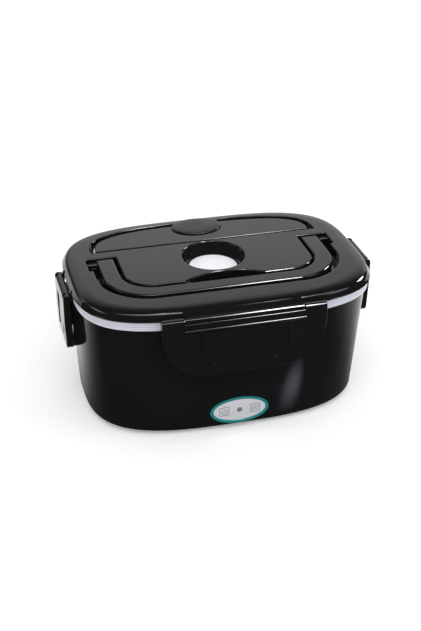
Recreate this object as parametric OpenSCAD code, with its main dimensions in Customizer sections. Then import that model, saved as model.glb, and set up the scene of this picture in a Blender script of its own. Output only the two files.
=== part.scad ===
// Electric lunch box: a black plastic shell, a white inner casing whose rim shows as a band,
// a lift-off lid held by four side latches, and the heating parts under the food tray.
// Frame: millimetres, Z up, front faces -Y, origin on the table under the middle of the shell.

/* [Shell] */
// Length of the outer shell at its rim
body_length = 214.6; // [208:0.2:220]
// Width of the outer shell at its rim, front to back
body_width = 146.2; // [142:0.2:152]
// Height of the shell from its underside to its rim
body_height = 90.4; // [84:0.2:96]
// Wall of the shell
shell_wall = 2.4; // [1.8:0.1:3]
// How far the two end walls lean in for each millimetre of height
end_draft = 0.05; // [0.02:0.01:0.08]
// How far the front and back walls lean in for each millimetre of height
side_draft = 0.045; // [0.02:0.005:0.06]
// Radius of the edge round the underside
base_radius = 7; // [4:0.5:9]
// Squareness of the outline at the rim, where 2 is an ellipse
rim_squareness = 3.5; // [3.2:0.05:3.8]
// Squareness of the outline at the base
base_squareness = 3; // [2.6:0.05:3.4]
// Height of the rubber feet
foot_height = 1.5; // [1.2:0.1:2.5]
// Radius of a rubber foot
foot_radius = 7; // [5:0.5:8]

/* [Inner casing] */
// Height of the white band between the shell and the lid
band_height = 7; // [6:0.1:8]
// How far the band's face lies inside the lid's skirt
band_inset = 1.2; // [0.8:0.1:2]
// Wall of the casing
casing_wall = 2; // [1.6:0.1:2.6]
// Height of the casing's floor above the shell's underside
floor_height = 20; // [19.5:0.1:21]
// Depth of the shelf that carries the food tray, below the band's top
shelf_depth = 16; // [15:0.5:18]
// Width of that shelf
shelf_width = 4.6; // [3.8:0.1:5.4]

/* [Lid] */
// Length of the lid at its skirt
lid_length = 220.4; // [216:0.2:224]
// Width of the lid at its skirt, front to back
lid_width = 152; // [150:0.5:156]
// Height of the lid above the band
lid_height = 7; // [6.6:0.1:7.6]
// Width of the rounded shoulder round the lid's flat top
shoulder_width = 11; // [9:0.5:11]
// Wall of the lid
lid_wall = 2.2; // [1.8:0.1:2.6]
// Squareness of the lid's outline
lid_squareness = 3.55; // [3:0.05:3.6]
// Depth of the white plate under the lid, below the band's top
liner_depth = 11.5; // [11:0.1:12.5]

/* [Vent] */
// Distance of the vent well behind the middle of the lid
well_y = 4.9; // [2:0.1:6]
// Radius of the well at the lid's top
well_radius = 23.8; // [22:0.2:25]
// Radius of the well's floor
well_floor_radius = 19.2; // [18.5:0.1:20.5]
// Depth of the well
well_depth = 10; // [9:0.1:10.5]
// Radius of the vent plug's stem
stem_radius = 7; // [5:0.5:8]

/* [Handle] */
// Outer width of the handle
handle_span = 171.4; // [168:0.2:173]
// Width of the handle's bar
handle_bar = 12.8; // [11:0.2:14]
// Thickness of the handle
handle_thick = 5.8; // [5:0.1:6]
// Depth of the trough that the handle folds into
trough_depth = 7.8; // [7.4:0.1:8.2]
// Gap round the outside of the handle
trough_gap = 4.7; // [4:0.1:5.5]
// Gap between the handle and the middle of the lid
plate_gap = 2.3; // [1.8:0.1:3]
// Reach of the handle's front edge from the middle of the lid
handle_front = 45.4; // [43:0.2:47]
// Place of the handle's pivot, behind the middle of the lid
handle_pivot_y = 15; // [13:0.5:15.5]
// Radius of the handle's pivot pins
handle_pin_radius = 1.8; // [1.4:0.1:2]

/* [Cutlery cover] */
// Length of the cutlery cover
cover_length = 166.6; // [162:0.2:168]
// Depth of the cutlery cover, front to back
cover_depth = 29.6; // [27:0.2:30]
// Thickness of the cutlery cover
cover_thick = 2.4; // [2:0.1:2.8]
// Seam between the cover and the middle of the lid
seam = 1.9; // [1.7:0.1:2.4]
// Place of the seam's front edge, behind the middle of the lid
seam_y = 29.8; // [29:0.1:30.5]
// Groove round the cover's curved edge
cover_groove = 4.4; // [4:0.1:5.4]
// Height of the thumb tab above the lid
tab_height = 1.3; // [1:0.1:2]
// Depth of the cutlery compartment
compartment_depth = 13.4; // [12:0.1:13.8]

/* [Latches] */
// Width of the front latch
wide_latch = 118; // [110:1:122]
// Width of the two end latches
end_latch = 39.6; // [36:0.2:42]
// Width of the back latch
back_latch_width = 60; // [54:1:66]
// Distance of the end latches behind the middle of the lid
end_latch_y = 1.4; // [0:0.1:3]
// How far a latch's face stands out beyond the lid's skirt
latch_reach = 6.1; // [5.8:0.1:6.4]
// Wall of a latch
latch_wall = 2.2; // [1.8:0.1:2.4]
// Height of the front latch's lower edge above the table
wide_latch_low = 56; // [54:0.5:60]
// Height of the other latches' lower edge above the table
end_latch_low = 54.6; // [53:0.2:58]
// Radius of the latch hinge pins
latch_pin_radius = 1.2; // [1:0.1:1.3]
// Width of the boss on the lid between the front latch's knuckles
boss_width = 85; // [80:1:88]

/* [Lamp panel] */
// Length of the oval lamp panel
panel_length = 44; // [40:0.5:46]
// Height of the oval lamp panel
panel_height = 22; // [19:0.2:23]
// Height of the panel's middle above the table
panel_z = 16.6; // [16:0.1:18]
// Width of the coloured rim round the panel
panel_rim = 2.3; // [1.5:0.1:3]
// Radius of the indicator lamp
lamp_radius = 2; // [1.5:0.1:2.4]

/* [Tray] */
// Wall of the steel food tray
tray_wall = 0.6; // [0.5:0.1:1]
// Place of the tray's dividing wall, right of the middle
divider_x = 34; // [30:1:36]
// Wall of the side dish
dish_wall = 1.6; // [1.2:0.1:2]

/* [Hidden] */
$fn = 48;
// Points round a lofted outline, and in a quarter turn of a drawn curve
ring_points = 64;
arc_steps = 8;
// Clearances: between seated pieces, round a running pin, and round a fixed pin
seat = 0.25;
running = 0.05;
snug = 0.02;
eps = 0.01;

black = "#1b1b1d";
white = "#e8e8ee";
steel = "#c4c6c8";
alloy = "#b9bcc0";
teal = "#1f9f8f";

// Levels above the table
z_base = foot_height;
z_rim = z_base + body_height;
z_band = z_rim + band_height;
z_skirt = z_band + seat;
z_top = z_band + lid_height;
z_floor = z_base + floor_height + casing_wall;
z_shelf = z_band - shelf_depth;
z_liner = z_band - liner_depth;
z_inside = z_base + shell_wall;

// Half sizes at the rim
shell_a = body_length / 2;
shell_b = body_width / 2;
lid_a = lid_length / 2;
lid_b = lid_width / 2;
band_a = lid_a - band_inset;
band_b = lid_b - band_inset;

// One outline point: a superellipse of half sizes a and b and squareness n
function rounded_point(a, b, n, t) = [
    a * sign(cos(t)) * pow(abs(cos(t)), 2 / n),
    b * sign(sin(t)) * pow(abs(sin(t)), 2 / n)];
// A section is [height, half length, half width, squareness]
function section_ring(s) = [for (j = [0:ring_points - 1])
    let (p = rounded_point(s[1], s[2], s[3], 360 * j / ring_points)) [p[0], p[1], s[0]]];
function outline(a, b, n) = [for (j = [0:ring_points - 1])
    rounded_point(a, b, n, 360 * j / ring_points)];
function arc(cx, cy, r, from, to) = [for (i = [0:arc_steps])
    let (t = from + (to - from) * i / arc_steps) [cx + r * cos(t), cy + r * sin(t)]];
// An outline with two rounded front corners and a straight back edge
function front_rounded(half, front, back, r) = concat([[half, back], [-half, back]],
    arc(-half + r, front + r, r, 180, 270), arc(half - r, front + r, r, 270, 360));
// A D: straight along the front, half a superellipse behind
function d_outline(a, b, front, n) = [for (i = [0:4 * arc_steps])
    let (p = rounded_point(a, b, n, 180 * i / (4 * arc_steps))) [p[0], front + p[1]]];
function oval(a, b) = [for (j = [0:ring_points - 1])
    [a * cos(360 * j / ring_points), b * sin(360 * j / ring_points)]];
function rounded_box(x0, y0, x1, y1, r) = concat(arc(x1 - r, y1 - r, r, 0, 90),
    arc(x0 + r, y1 - r, r, 90, 180), arc(x0 + r, y0 + r, r, 180, 270),
    arc(x1 - r, y0 + r, r, 270, 360));

// Skin over sections that go up the outside and down the inside
function skin_faces(rings, closed) = [for (i = [0:(closed ? rings - 1 : rings - 2)],
    j = [0:ring_points - 1], half = [0, 1])
    let (i2 = (i + 1) % rings, j2 = (j + 1) % ring_points,
        a = i * ring_points + j, b = i2 * ring_points + j,
        c = i2 * ring_points + j2, d = i * ring_points + j2)
    half == 0 ? [a, b, c] : [a, c, d]];
module cup(sections) {
    last = (len(sections) - 1) * ring_points;
    polyhedron([for (s = sections) each section_ring(s)],
        concat(skin_faces(len(sections), false),
            [[for (j = [0:ring_points - 1]) j],
            [for (j = [ring_points - 1:-1:0]) last + j]]));
}
module hoop(sections) {
    polyhedron([for (s = sections) each section_ring(s)], skin_faces(len(sections), true));
}

// Half sizes and squareness of the shell's face at a height, less an inset
function squareness_at(z) = base_squareness
    + (rim_squareness - base_squareness) * (z - z_base) / body_height;
function shell_at(z, inset) = [z, shell_a - end_draft * (z_rim - z) - inset,
    shell_b - side_draft * (z_rim - z) - inset, squareness_at(z)];
// Quarter round at the foot of a wall, from the floor outwards and up
function foot_round(z, r, inset) = [for (i = [0:4])
    let (t = 90 * i / 4, s = shell_at(z + r, inset + r * (1 - sin(t))))
    [z + r * (1 - cos(t)), s[1], s[2], s[3]]];
function reversed(list) = [for (i = [len(list) - 1:-1:0]) list[i]];

// Places of what the parts below the tray share
plate_z = z_floor + 0.8;
plate_thick = 1.5;
opening_a = 78;
opening_b = 47;
post_x = 70;
post_y = 47;
casing_post_radius = 4;
socket_top = z_inside + 2;
screw_radius = 1.5;
screw_head_radius = 2.8;
screw_head = 1.8;
heater_x = 28;
heater_y = 17;
heater_thick = 5.6;
heater_z = plate_z - heater_thick;
strap_thick = 1.2;
strap_post_x = 34;
bar_x = 48;
bar_post_y = 38;
bar_thick = 2;
thermostat_x = 18;
thermostat_y = 36;
thermostat_ear = 11;
fuse_x = -18;
fuse_y = 34;
fuse_radius = 2.2;
fuse_z = plate_z - fuse_radius - 0.2;
clip_post_y = 7.5;
small_screw_radius = 1.1;
ear_z = z_floor - casing_wall - 1.2;
clip_z = fuse_z - fuse_radius - 0.2;
inlet_z = z_inside + 8;
inlet_half = 12.4;
inlet_half_height = 6;
inlet_face = shell_b - side_draft * (z_rim - inlet_z) + 0.8;
inlet_depth = 16;
inlet_socket_depth = 11;
inlet_flange = 1.8;
contact_x = 4.3;
contact_radius = 1.2;
panel_face = shell_b - side_draft * (z_rim - panel_z) + 0.5;
panel_thick = 1.6;
board_y = panel_face - panel_thick - shell_wall - 2.6;
board_thick = 1.6;

// Keeper under a latch's hook: a ledge between two ribs on the shell
keeper_top = z_rim - 13;
keeper_thick = 2.5;
keeper_reach = 2.2;
hook_height = 4.2;
hook_gap = 0.8;
wide_hook = 20;
end_hook = end_latch / 2 - latch_wall - 4.5;
back_hook = back_latch_width / 2 - latch_wall - 4.5;
module keeper(half, wall_rim, draft, low) {
    wall = wall_rim - draft * (z_rim - keeper_top);
    reach = wall + keeper_reach + 0.9;
    // The ribs start inside the wall
    inner = wall_rim - draft * (z_rim - low) - 1.2;
    translate([-half, -reach, keeper_top - keeper_thick])
        cube([2 * half, reach - inner, keeper_thick]);
    for (s = [-1, 1])
        translate([s * (half - keeper_thick / 2) - keeper_thick / 2, -reach, low])
            cube([keeper_thick, reach - inner, z_rim - 1 - low]);
}

module outer_shell() {
    outer = concat(foot_round(z_base, base_radius, 0),
        [shell_at(z_base + body_height / 2, 0), shell_at(z_rim, 0)]);
    inner = concat([shell_at(z_rim, shell_wall), shell_at(z_base + body_height / 2, shell_wall)],
        reversed(foot_round(z_inside, base_radius - shell_wall / 2, shell_wall)));
    color(black)
    difference() {
        union() {
            cup(concat(outer, inner));
            // Latch keepers
            keeper(wide_hook + 1 + keeper_thick, shell_b, side_draft, wide_latch_low + 2);
            rotate([0, 0, 180])
                keeper(back_hook + 1 + keeper_thick, shell_b, side_draft, end_latch_low + 1);
            for (s = [-1, 1])
                translate([0, end_latch_y, 0])
                    rotate([0, 0, s * 90])
                        keeper(end_hook + 1 + keeper_thick, shell_a, end_draft, end_latch_low + 1);
            // Flat pad for the mains inlet
            translate([-inlet_half - 4, inlet_face - 5.5, z_inside - 0.6])
                cube([2 * inlet_half + 8, 5.5, 2 * inlet_half_height + 5.2]);
            // Flat oval pad for the lamp panel
            translate([0, -panel_face + panel_thick, panel_z])
                rotate([-90, 0, 0])
                    linear_extrude(shell_wall)
                        polygon(oval(panel_length / 2 + 0.6, panel_height / 2 + 0.6));
            // Posts for the lamp board
            for (s = [-1, 1])
                translate([s * 11, -board_y, panel_z])
                    rotate([90, 0, 0])
                        cylinder(r = 2, h = 3);
            // Sockets round the casing's screws
            for (x = [-post_x, post_x], y = [-post_y, post_y])
                translate([x, y, z_base + 0.5])
                    cylinder(r = casing_post_radius + 1, h = socket_top - z_base - 0.5);
        }
        // Mains inlet opening
        translate([-inlet_half - 0.2, inlet_face - 12, inlet_z - inlet_half_height - 0.2])
            cube([2 * inlet_half + 0.4, 14, 2 * inlet_half_height + 0.4]);
        // Pocket for the lamp panel, and the hole behind its lamp
        translate([0, -panel_face - 3, panel_z])
            rotate([-90, 0, 0])
                linear_extrude(3 + panel_thick)
                    polygon(oval(panel_length / 2 + 0.15, panel_height / 2 + 0.15));
        translate([0, -panel_face + 12, panel_z])
            rotate([90, 0, 0])
                cylinder(r = lamp_radius + 0.15, h = 14);
        // Screw holes, with recessed heads
        for (x = [-post_x, post_x], y = [-post_y, post_y])
            translate([x, y, 0]) {
                cylinder(r = screw_radius + 0.2, h = 12);
                cylinder(r = screw_head_radius + 0.3, h = z_base + screw_head + 0.4);
            }
    }
}

module inner_casing() {
    w = casing_wall;
    wall = shell_wall + 0.5;
    rim_in = shell_at(z_rim, wall + w);
    outer_low = shell_at(z_floor + 6, wall + shelf_width + 1);
    shelf_in = shell_at(z_shelf, wall + shelf_width + w);
    low_in = shell_at(z_floor + 6, wall + shelf_width + w + 1);
    color(white)
    difference() {
        union() {
            hoop([
                [z_floor - w, opening_a, opening_b, base_squareness],
                [z_floor - w, low_in[1] - 4, low_in[2] - 4, base_squareness],
                [z_floor, low_in[1] - 0.6, low_in[2] - 0.6, base_squareness],
                outer_low,
                shell_at(z_shelf - w, wall + shelf_width),
                shell_at(z_shelf - w + 0.4, wall),
                shell_at(z_rim, wall),
                [z_rim + seat, band_a, band_b, rim_squareness],
                [z_rim + band_height * 0.42, band_a, band_b, rim_squareness],
                [z_rim + band_height * 0.48, band_a - 0.4, band_b - 0.4, rim_squareness],
                [z_rim + band_height * 0.54, band_a, band_b, rim_squareness],
                [z_band - 0.5, band_a, band_b, rim_squareness],
                [z_band, band_a - 0.5, band_b - 0.5, rim_squareness],
                [z_band, rim_in[1], rim_in[2], rim_squareness],
                shell_at(z_shelf, wall + w),
                shelf_in,
                low_in,
                [z_floor, low_in[1] - 5, low_in[2] - 5, base_squareness],
                [z_floor, opening_a, opening_b, base_squareness]]);
            for (x = [-post_x, post_x], y = [-post_y, post_y])
                translate([x, y, socket_top])
                    cylinder(r = casing_post_radius, h = z_floor - socket_top - 0.7);
        }
        for (x = [-post_x, post_x], y = [-post_y, post_y])
            translate([x, y, 0])
                cylinder(r = screw_radius + snug, h = z_floor - 3);
    }
}

module heating_plate() {
    color(alloy)
    difference() {
        union() {
            translate([0, 0, plate_z])
                linear_extrude(plate_thick)
                    polygon(outline(opening_a + 7, opening_b + 7, base_squareness));
            for (x = [-bar_x, bar_x], y = [-bar_post_y, bar_post_y])
                translate([x, y, z_floor - casing_wall])
                    cylinder(r = 3.5, h = plate_z - z_floor + casing_wall + eps);
            for (x = [-strap_post_x, strap_post_x])
                translate([x, 0, heater_z])
                    cylinder(r = 3, h = heater_thick + eps);
            for (s = [-1, 1])
                translate([thermostat_x + s * thermostat_ear, thermostat_y, ear_z + 1])
                    cylinder(r = 2.2, h = plate_z - ear_z - 1 + eps);
            for (s = [-1, 1])
                translate([fuse_x, fuse_y + s * clip_post_y, clip_z])
                    cylinder(r = 2.2, h = plate_z - clip_z + eps);
        }
        // Blind screw holes from below
        for (x = [-bar_x, bar_x], y = [-bar_post_y, bar_post_y])
            translate([x, y, 0])
                cylinder(r = screw_radius + snug, h = plate_z - 0.4);
        for (x = [-strap_post_x, strap_post_x])
            translate([x, 0, 0])
                cylinder(r = screw_radius + snug, h = plate_z - 0.4);
        for (s = [-1, 1])
            translate([thermostat_x + s * thermostat_ear, thermostat_y, 0])
                cylinder(r = small_screw_radius + snug, h = plate_z - 0.4);
        for (s = [-1, 1])
            translate([fuse_x, fuse_y + s * clip_post_y, 0])
                cylinder(r = small_screw_radius + snug, h = plate_z - 0.4);
    }
}

module plate_seal() {
    color("#8f9296")
    translate([0, 0, z_floor])
        linear_extrude(plate_z - z_floor)
            difference() {
                polygon(outline(opening_a + 6, opening_b + 6, base_squareness));
                polygon(outline(opening_a + 1, opening_b + 1, base_squareness));
            }
}

// Two steel bars under the casing's floor pull the plate down on its seal
module retainer_bars() {
    color(steel)
    for (x = [-bar_x, bar_x])
        difference() {
            translate([x - 5, -opening_b - 7, z_floor - casing_wall - bar_thick])
                cube([10, 2 * opening_b + 14, bar_thick]);
            for (y = [-bar_post_y, bar_post_y])
                translate([x, y, 0])
                    cylinder(r = screw_radius + 0.2, h = z_floor);
        }
}

module screw(r, head_r, head, length) {
    cylinder(r = head_r, h = head);
    cylinder(r = r, h = head + length);
}

module plate_screws() {
    color(steel) {
        for (x = [-bar_x, bar_x], y = [-bar_post_y, bar_post_y])
            translate([x, y, z_floor - casing_wall - bar_thick - screw_head])
                screw(screw_radius, screw_head_radius, screw_head, 4);
        for (x = [-strap_post_x, strap_post_x])
            translate([x, 0, heater_z - strap_thick - screw_head])
                screw(screw_radius, screw_head_radius, screw_head, 5);
        for (s = [-1, 1])
            translate([thermostat_x + s * thermostat_ear, thermostat_y, ear_z - 1.4])
                screw(small_screw_radius, 2, 1.4, 3.4);
        for (s = [-1, 1])
            translate([fuse_x, fuse_y + s * clip_post_y, clip_z - 0.8 - 1.4])
                screw(small_screw_radius, 2, 1.4, 4);
    }
}

// The heating element: a flat ceramic heater in an aluminium case
module ptc_heater() {
    color("#d8d2c4")
    difference() {
        translate([-heater_x, -heater_y, heater_z])
            cube([2 * heater_x, 2 * heater_y, heater_thick]);
        for (y = [-heater_y, heater_y - 1.4])
            translate([-heater_x - 1, y, heater_z + 2])
                cube([2 * heater_x + 2, 1.4, 1.6]);
    }
}

module heater_clamp() {
    color(steel)
    difference() {
        translate([-strap_post_x - 4.5, -7, heater_z - strap_thick])
            cube([2 * strap_post_x + 9, 14, strap_thick]);
        for (x = [-strap_post_x, strap_post_x])
            translate([x, 0, heater_z - strap_thick - 1])
                cylinder(r = screw_radius + 0.2, h = strap_thick + 2);
    }
}

// A bimetal disc thermostat, its cap against the plate
module thermostat() {
    color("#6b4a2e")
    difference() {
        translate([thermostat_x, thermostat_y, 0]) {
            translate([0, 0, ear_z + 1])
                cylinder(r = 8, h = plate_z - ear_z - 1);
            translate([0, 0, ear_z - 5.5])
                cylinder(r = 6.8, h = 6.5 + eps);
            translate([-thermostat_ear - 3, -3, ear_z])
                cube([2 * thermostat_ear + 6, 6, 1]);
            for (s = [-1, 1])
                translate([s * 8.5 - 3, -1.6, ear_z - 4.4])
                    cube([6, 3.2, 0.8]);
        }
        for (s = [-1, 1])
            translate([thermostat_x + s * thermostat_ear, thermostat_y, ear_z - 1])
                cylinder(r = small_screw_radius + 0.2, h = 2 + eps);
    }
}

module thermal_fuse() {
    color("#e4e0d6")
    translate([fuse_x, fuse_y, fuse_z])
        rotate([0, 90, 0]) {
            translate([0, 0, -8])
                cylinder(r = fuse_radius, h = 16);
            translate([0, 0, -11])
                cylinder(r = 0.6, h = 22);
        }
}

module fuse_clip() {
    color(steel)
    difference() {
        translate([fuse_x - 4, fuse_y - clip_post_y - 3, clip_z - 0.8])
            cube([8, 2 * clip_post_y + 6, 0.8]);
        for (s = [-1, 1])
            translate([fuse_x, fuse_y + s * clip_post_y, clip_z - 2])
                cylinder(r = small_screw_radius + 0.2, h = 3);
    }
}

module insulation_pad() {
    color("#d9d2bd")
    translate([0, -4, z_inside])
        linear_extrude(2)
            polygon(rounded_box(-58, -38, 58, 38, 6));
}

// Two-pin mains inlet, pushed into the shell's back wall
module inlet_cavity_shape() {
    for (s = [-1, 1])
        translate([s * contact_x, 0])
            circle(r = 4.1);
    translate([-contact_x, -3.2])
        square([2 * contact_x, 6.4]);
}
module inlet_socket() {
    color("#232325")
    difference() {
        union() {
            translate([-inlet_half, inlet_face - inlet_depth, inlet_z - inlet_half_height])
                cube([2 * inlet_half, inlet_depth + eps, 2 * inlet_half_height]);
            translate([-inlet_half - 2, inlet_face, inlet_z - inlet_half_height - 1.6])
                cube([2 * inlet_half + 4, inlet_flange, 2 * inlet_half_height + 3.2]);
        }
        translate([0, inlet_face + inlet_flange + eps, inlet_z])
            rotate([90, 0, 0])
                linear_extrude(inlet_socket_depth + inlet_flange)
                    inlet_cavity_shape();
        for (s = [-1, 1])
            translate([s * contact_x, inlet_face, inlet_z])
                rotate([90, 0, 0])
                    cylinder(r = contact_radius + running, h = inlet_depth + 1);
    }
}
module inlet_pins() {
    color("#c9a85a")
    for (s = [-1, 1])
        translate([s * contact_x, inlet_face - 1.5, inlet_z])
            rotate([90, 0, 0])
                cylinder(r = contact_radius, h = inlet_depth + 2);
}

// The lamp panel: a coloured rim, a pale face and one lamp in the middle
module lamp_rim() {
    color(teal)
    translate([0, -panel_face, panel_z])
        rotate([-90, 0, 0])
            linear_extrude(panel_thick)
                difference() {
                    polygon(oval(panel_length / 2, panel_height / 2));
                    polygon(oval(panel_length / 2 - panel_rim, panel_height / 2 - panel_rim));
                }
}
module lamp_face() {
    color("#dcdde2")
    translate([0, -panel_face + 0.2, panel_z])
        rotate([-90, 0, 0])
            linear_extrude(panel_thick - 0.2)
                difference() {
                    polygon(oval(panel_length / 2 - panel_rim - 0.05,
                        panel_height / 2 - panel_rim - 0.05));
                    circle(r = lamp_radius + 0.1);
                }
}
module indicator_lamp() {
    color("#9aa0a4")
    translate([0, -board_y, panel_z])
        rotate([90, 0, 0]) {
            cylinder(r = lamp_radius, h = panel_face - board_y);
            cylinder(r = lamp_radius + 0.8, h = 1);
        }
}
module lamp_board() {
    color("#2f6b45")
    translate([-15, -board_y, panel_z - 6])
        cube([30, board_thick, 12]);
}

// A wire is one swept tube through smooth points between the chosen ones
wire_sides = 8;
function unit(v) = v / norm(v);
function curve_point(p0, p1, p2, p3, t) = 0.5 * (2 * p1 + (p2 - p0) * t
    + (2 * p0 - 5 * p1 + 4 * p2 - p3) * t * t + (3 * p1 - p0 - 3 * p2 + p3) * t * t * t);
function smooth(p, k) = concat([for (i = [0:len(p) - 2], j = [0:k - 1])
    curve_point(p[max(i - 1, 0)], p[i], p[i + 1], p[min(i + 2, len(p) - 1)], j / k)],
    [p[len(p) - 1]]);
function heading(p, i) = unit(p[min(i + 1, len(p) - 1)] - p[max(i - 1, 0)]);
function across(v, t) = unit(v - (v * t) * t);
module wire(points, r) {
    p = smooth(points, 4);
    n = len(p);
    m = len(points);
    // The two ends are square to the chosen points' first and last stretch
    t = [for (i = [0:n - 1]) i == 0 ? unit(points[1] - points[0])
        : i == n - 1 ? unit(points[m - 1] - points[m - 2]) : heading(p, i)];
    sides = [for (i = 0, v = across([0.3, 0.2, 1], t[0]); i < n; i = i + 1,
        v = across(v, t[min(i, n - 1)])) v];
    polyhedron([for (i = [0:n - 1], j = [0:wire_sides - 1])
        let (a = 360 * j / wire_sides)
        p[i] + r * (cos(a) * sides[i] + sin(a) * cross(t[i], sides[i]))],
        concat([for (i = [0:n - 2], j = [0:wire_sides - 1], half = [0, 1])
            let (j2 = (j + 1) % wire_sides, a = i * wire_sides + j, b = a + wire_sides,
                c = (i + 1) * wire_sides + j2, d = i * wire_sides + j2)
            half == 0 ? [a, b, c] : [a, c, d]],
            [[for (j = [0:wire_sides - 1]) j],
            [for (j = [wire_sides - 1:-1:0]) (n - 1) * wire_sides + j]]));
}
wire_radius = 1.1;
contact_end = inlet_face - 1.5 - inlet_depth - 2;
wire_z = z_inside + 6;
module live_wire() {
    color("#7a4a2a")
    wire([[-contact_x, contact_end, inlet_z], [-contact_x, contact_end - 2, inlet_z],
        [-contact_x - 2, contact_end - 7, inlet_z - 2],
        [-26, 46, wire_z + 1], [-38, 38, wire_z + 3], [-36, 34, fuse_z - 4],
        [fuse_x - 15, fuse_y, fuse_z - 0.4], [fuse_x - 13, fuse_y, fuse_z],
        [fuse_x - 11, fuse_y, fuse_z]], wire_radius);
}
module link_wires() {
    color("#c9c2b0") {
        wire([[fuse_x + 11, fuse_y, fuse_z], [fuse_x + 12.5, fuse_y, fuse_z],
            [fuse_x + 14.5, fuse_y - 0.2, fuse_z - 1], [0, 34, ear_z - 2.4],
            [thermostat_x - 15, thermostat_y, ear_z - 3.9],
            [thermostat_x - 13, thermostat_y, ear_z - 4],
            [thermostat_x - 11.5, thermostat_y, ear_z - 4]], wire_radius);
        wire([[thermostat_x + 11.5, thermostat_y, ear_z - 4],
            [thermostat_x + 13, thermostat_y, ear_z - 4], [34, 34.5, ear_z - 4.2],
            [38, 28, wire_z + 3], [36, 16, heater_z + 0.4], [32, 12, heater_z + 2.7],
            [heater_x + 2, 12, heater_z + 2.8], [heater_x + 0.1, 12, heater_z + 2.8]],
            wire_radius);
    }
}
module neutral_wire() {
    color("#3b5d8c")
    wire([[contact_x, contact_end, inlet_z], [contact_x, contact_end - 2, inlet_z],
        [contact_x - 1, contact_end - 8, inlet_z - 2],
        [-4, 30, wire_z], [-22, 22, wire_z], [-37, 18, wire_z + 3],
        [-36, 12, heater_z + 1.8], [-32, 12, heater_z + 2.7],
        [-heater_x - 2, 12, heater_z + 2.8], [-heater_x - 0.1, 12, heater_z + 2.8]],
        wire_radius);
}
module lamp_wires() {
    color("#e6e6e6")
    for (s = [-1, 1])
        wire([[s * (heater_x + 0.1), -12, heater_z + 2.8],
            [s * (heater_x + 2), -12, heater_z + 2.8], [s * 32, -12.6, heater_z + 2.6],
            [s * 38, -20, wire_z + 3], [s * 30, -44, wire_z + 1], [s * 16, -56, wire_z + 2],
            [s * 9, -board_y + board_thick + 4, panel_z],
            [s * 8, -board_y + board_thick + 1.6, panel_z],
            [s * 8, -board_y + board_thick, panel_z]], 0.8);
}

module base_screws() {
    color(steel)
    for (x = [-post_x, post_x], y = [-post_y, post_y])
        translate([x, y, z_base + 0.4])
            difference() {
                screw(screw_radius, screw_head_radius, screw_head, 12);
                translate([-1.9, -0.4, -1])
                    cube([3.8, 0.8, 1.9]);
                translate([-0.4, -1.9, -1])
                    cube([0.8, 3.8, 1.9]);
            }
}

module rubber_feet() {
    color("#2a2a2c")
    for (x = [-post_x + 14, post_x - 14], y = [-post_y - 1, post_y + 1])
        translate([x, y, 0]) {
            cylinder(r1 = foot_radius - 0.6, r2 = foot_radius, h = 0.6);
            translate([0, 0, 0.6])
                cylinder(r = foot_radius, h = z_base - 0.6);
        }
}

// Food tray: pressed steel, with a rim that hangs on the casing's shelf
tray_floor = plate_z + plate_thick + seat;
tray_rim = z_shelf + seat;
tray_inset = shell_wall + 0.5 + casing_wall;
function tray_at(z, more) = shell_at(z, tray_inset + shelf_width + 1.2 + more);
tray_radius = 8;
function tray_round(more, z) = [for (i = [0:4])
    let (t = 90 * i / 4, s = tray_at(z + tray_radius, 1 + more + tray_radius * (1 - sin(t))))
    [z + tray_radius * (1 - cos(t)), s[1], s[2], s[3]]];
module tray_body() {
    rim = shell_at(z_shelf, tray_inset + 1);
    cup(concat(tray_round(0, tray_floor), [tray_at(tray_rim, 0),
        [tray_rim, rim[1], rim[2], rim[3]], [tray_rim + tray_wall, rim[1], rim[2], rim[3]],
        tray_at(tray_rim + tray_wall, tray_wall - 0.2)],
        reversed(tray_round(tray_wall, tray_floor + tray_wall))));
}
module food_tray() {
    color(steel)
    union() {
        tray_body();
        intersection() {
            translate([divider_x - 1, -body_width / 2, tray_floor + tray_wall / 2])
                cube([2, body_width, 38]);
            cup(concat(tray_round(tray_wall / 2, tray_floor + tray_wall / 2),
                [tray_at(tray_rim - 1, tray_wall / 2)]));
        }
    }
}

// Side dish: a small plastic tub for sauce or salad, in the tray's right bay
dish_x0 = divider_x + 3;
dish_x1 = shell_a - 30;
dish_y = shell_b - 32;
dish_floor = tray_floor + tray_wall + seat;
dish_top = z_shelf - 9;
module side_dish() {
    color(white)
    difference() {
        union() {
            translate([0, 0, dish_floor])
                linear_extrude(dish_top - dish_floor)
                    polygon(rounded_box(dish_x0 + 1, -dish_y + 1, dish_x1 - 1, dish_y - 1, 9));
            translate([0, 0, dish_top - 1.6])
                linear_extrude(1.6)
                    polygon(rounded_box(dish_x0, -dish_y, dish_x1, dish_y, 10));
        }
        translate([0, 0, dish_floor + dish_wall])
            linear_extrude(dish_top)
                polygon(rounded_box(dish_x0 + 1 + dish_wall, -dish_y + 1 + dish_wall,
                    dish_x1 - 1 - dish_wall, dish_y - 1 - dish_wall, 7.4));
    }
}

// Lid. Plan shapes of the trough, the middle plate and the cutlery compartment
trough_half = handle_span / 2 + trough_gap;
trough_front = -handle_front - trough_gap;
trough_back = handle_pivot_y + 5.3;
plate_half = handle_span / 2 - handle_bar - plate_gap;
plate_front = -handle_front + handle_bar + plate_gap - 0.5;
trough_corner = 38;
plate_corner = 20;
z_trough = z_top - trough_depth;
notch_x = trough_half + 3;
notch_front = handle_pivot_y - 13.2;
pocket_front = seam_y;
cover_front = seam_y + seam;
pocket_a = cover_length / 2 + cover_groove;
pocket_b = cover_front - pocket_front + cover_depth + cover_groove;
z_ledge = z_top - 5.4;
z_compartment = z_top - compartment_depth;
cover_squareness = 2.8;
cover_hinge_y = cover_front + 1.4;
cover_hinge_z = z_top - 2.8;
cover_pin_radius = 1;
z_well = z_top - well_depth;
handle_pivot_z = z_top - 0.2 - handle_thick / 2;

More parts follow.
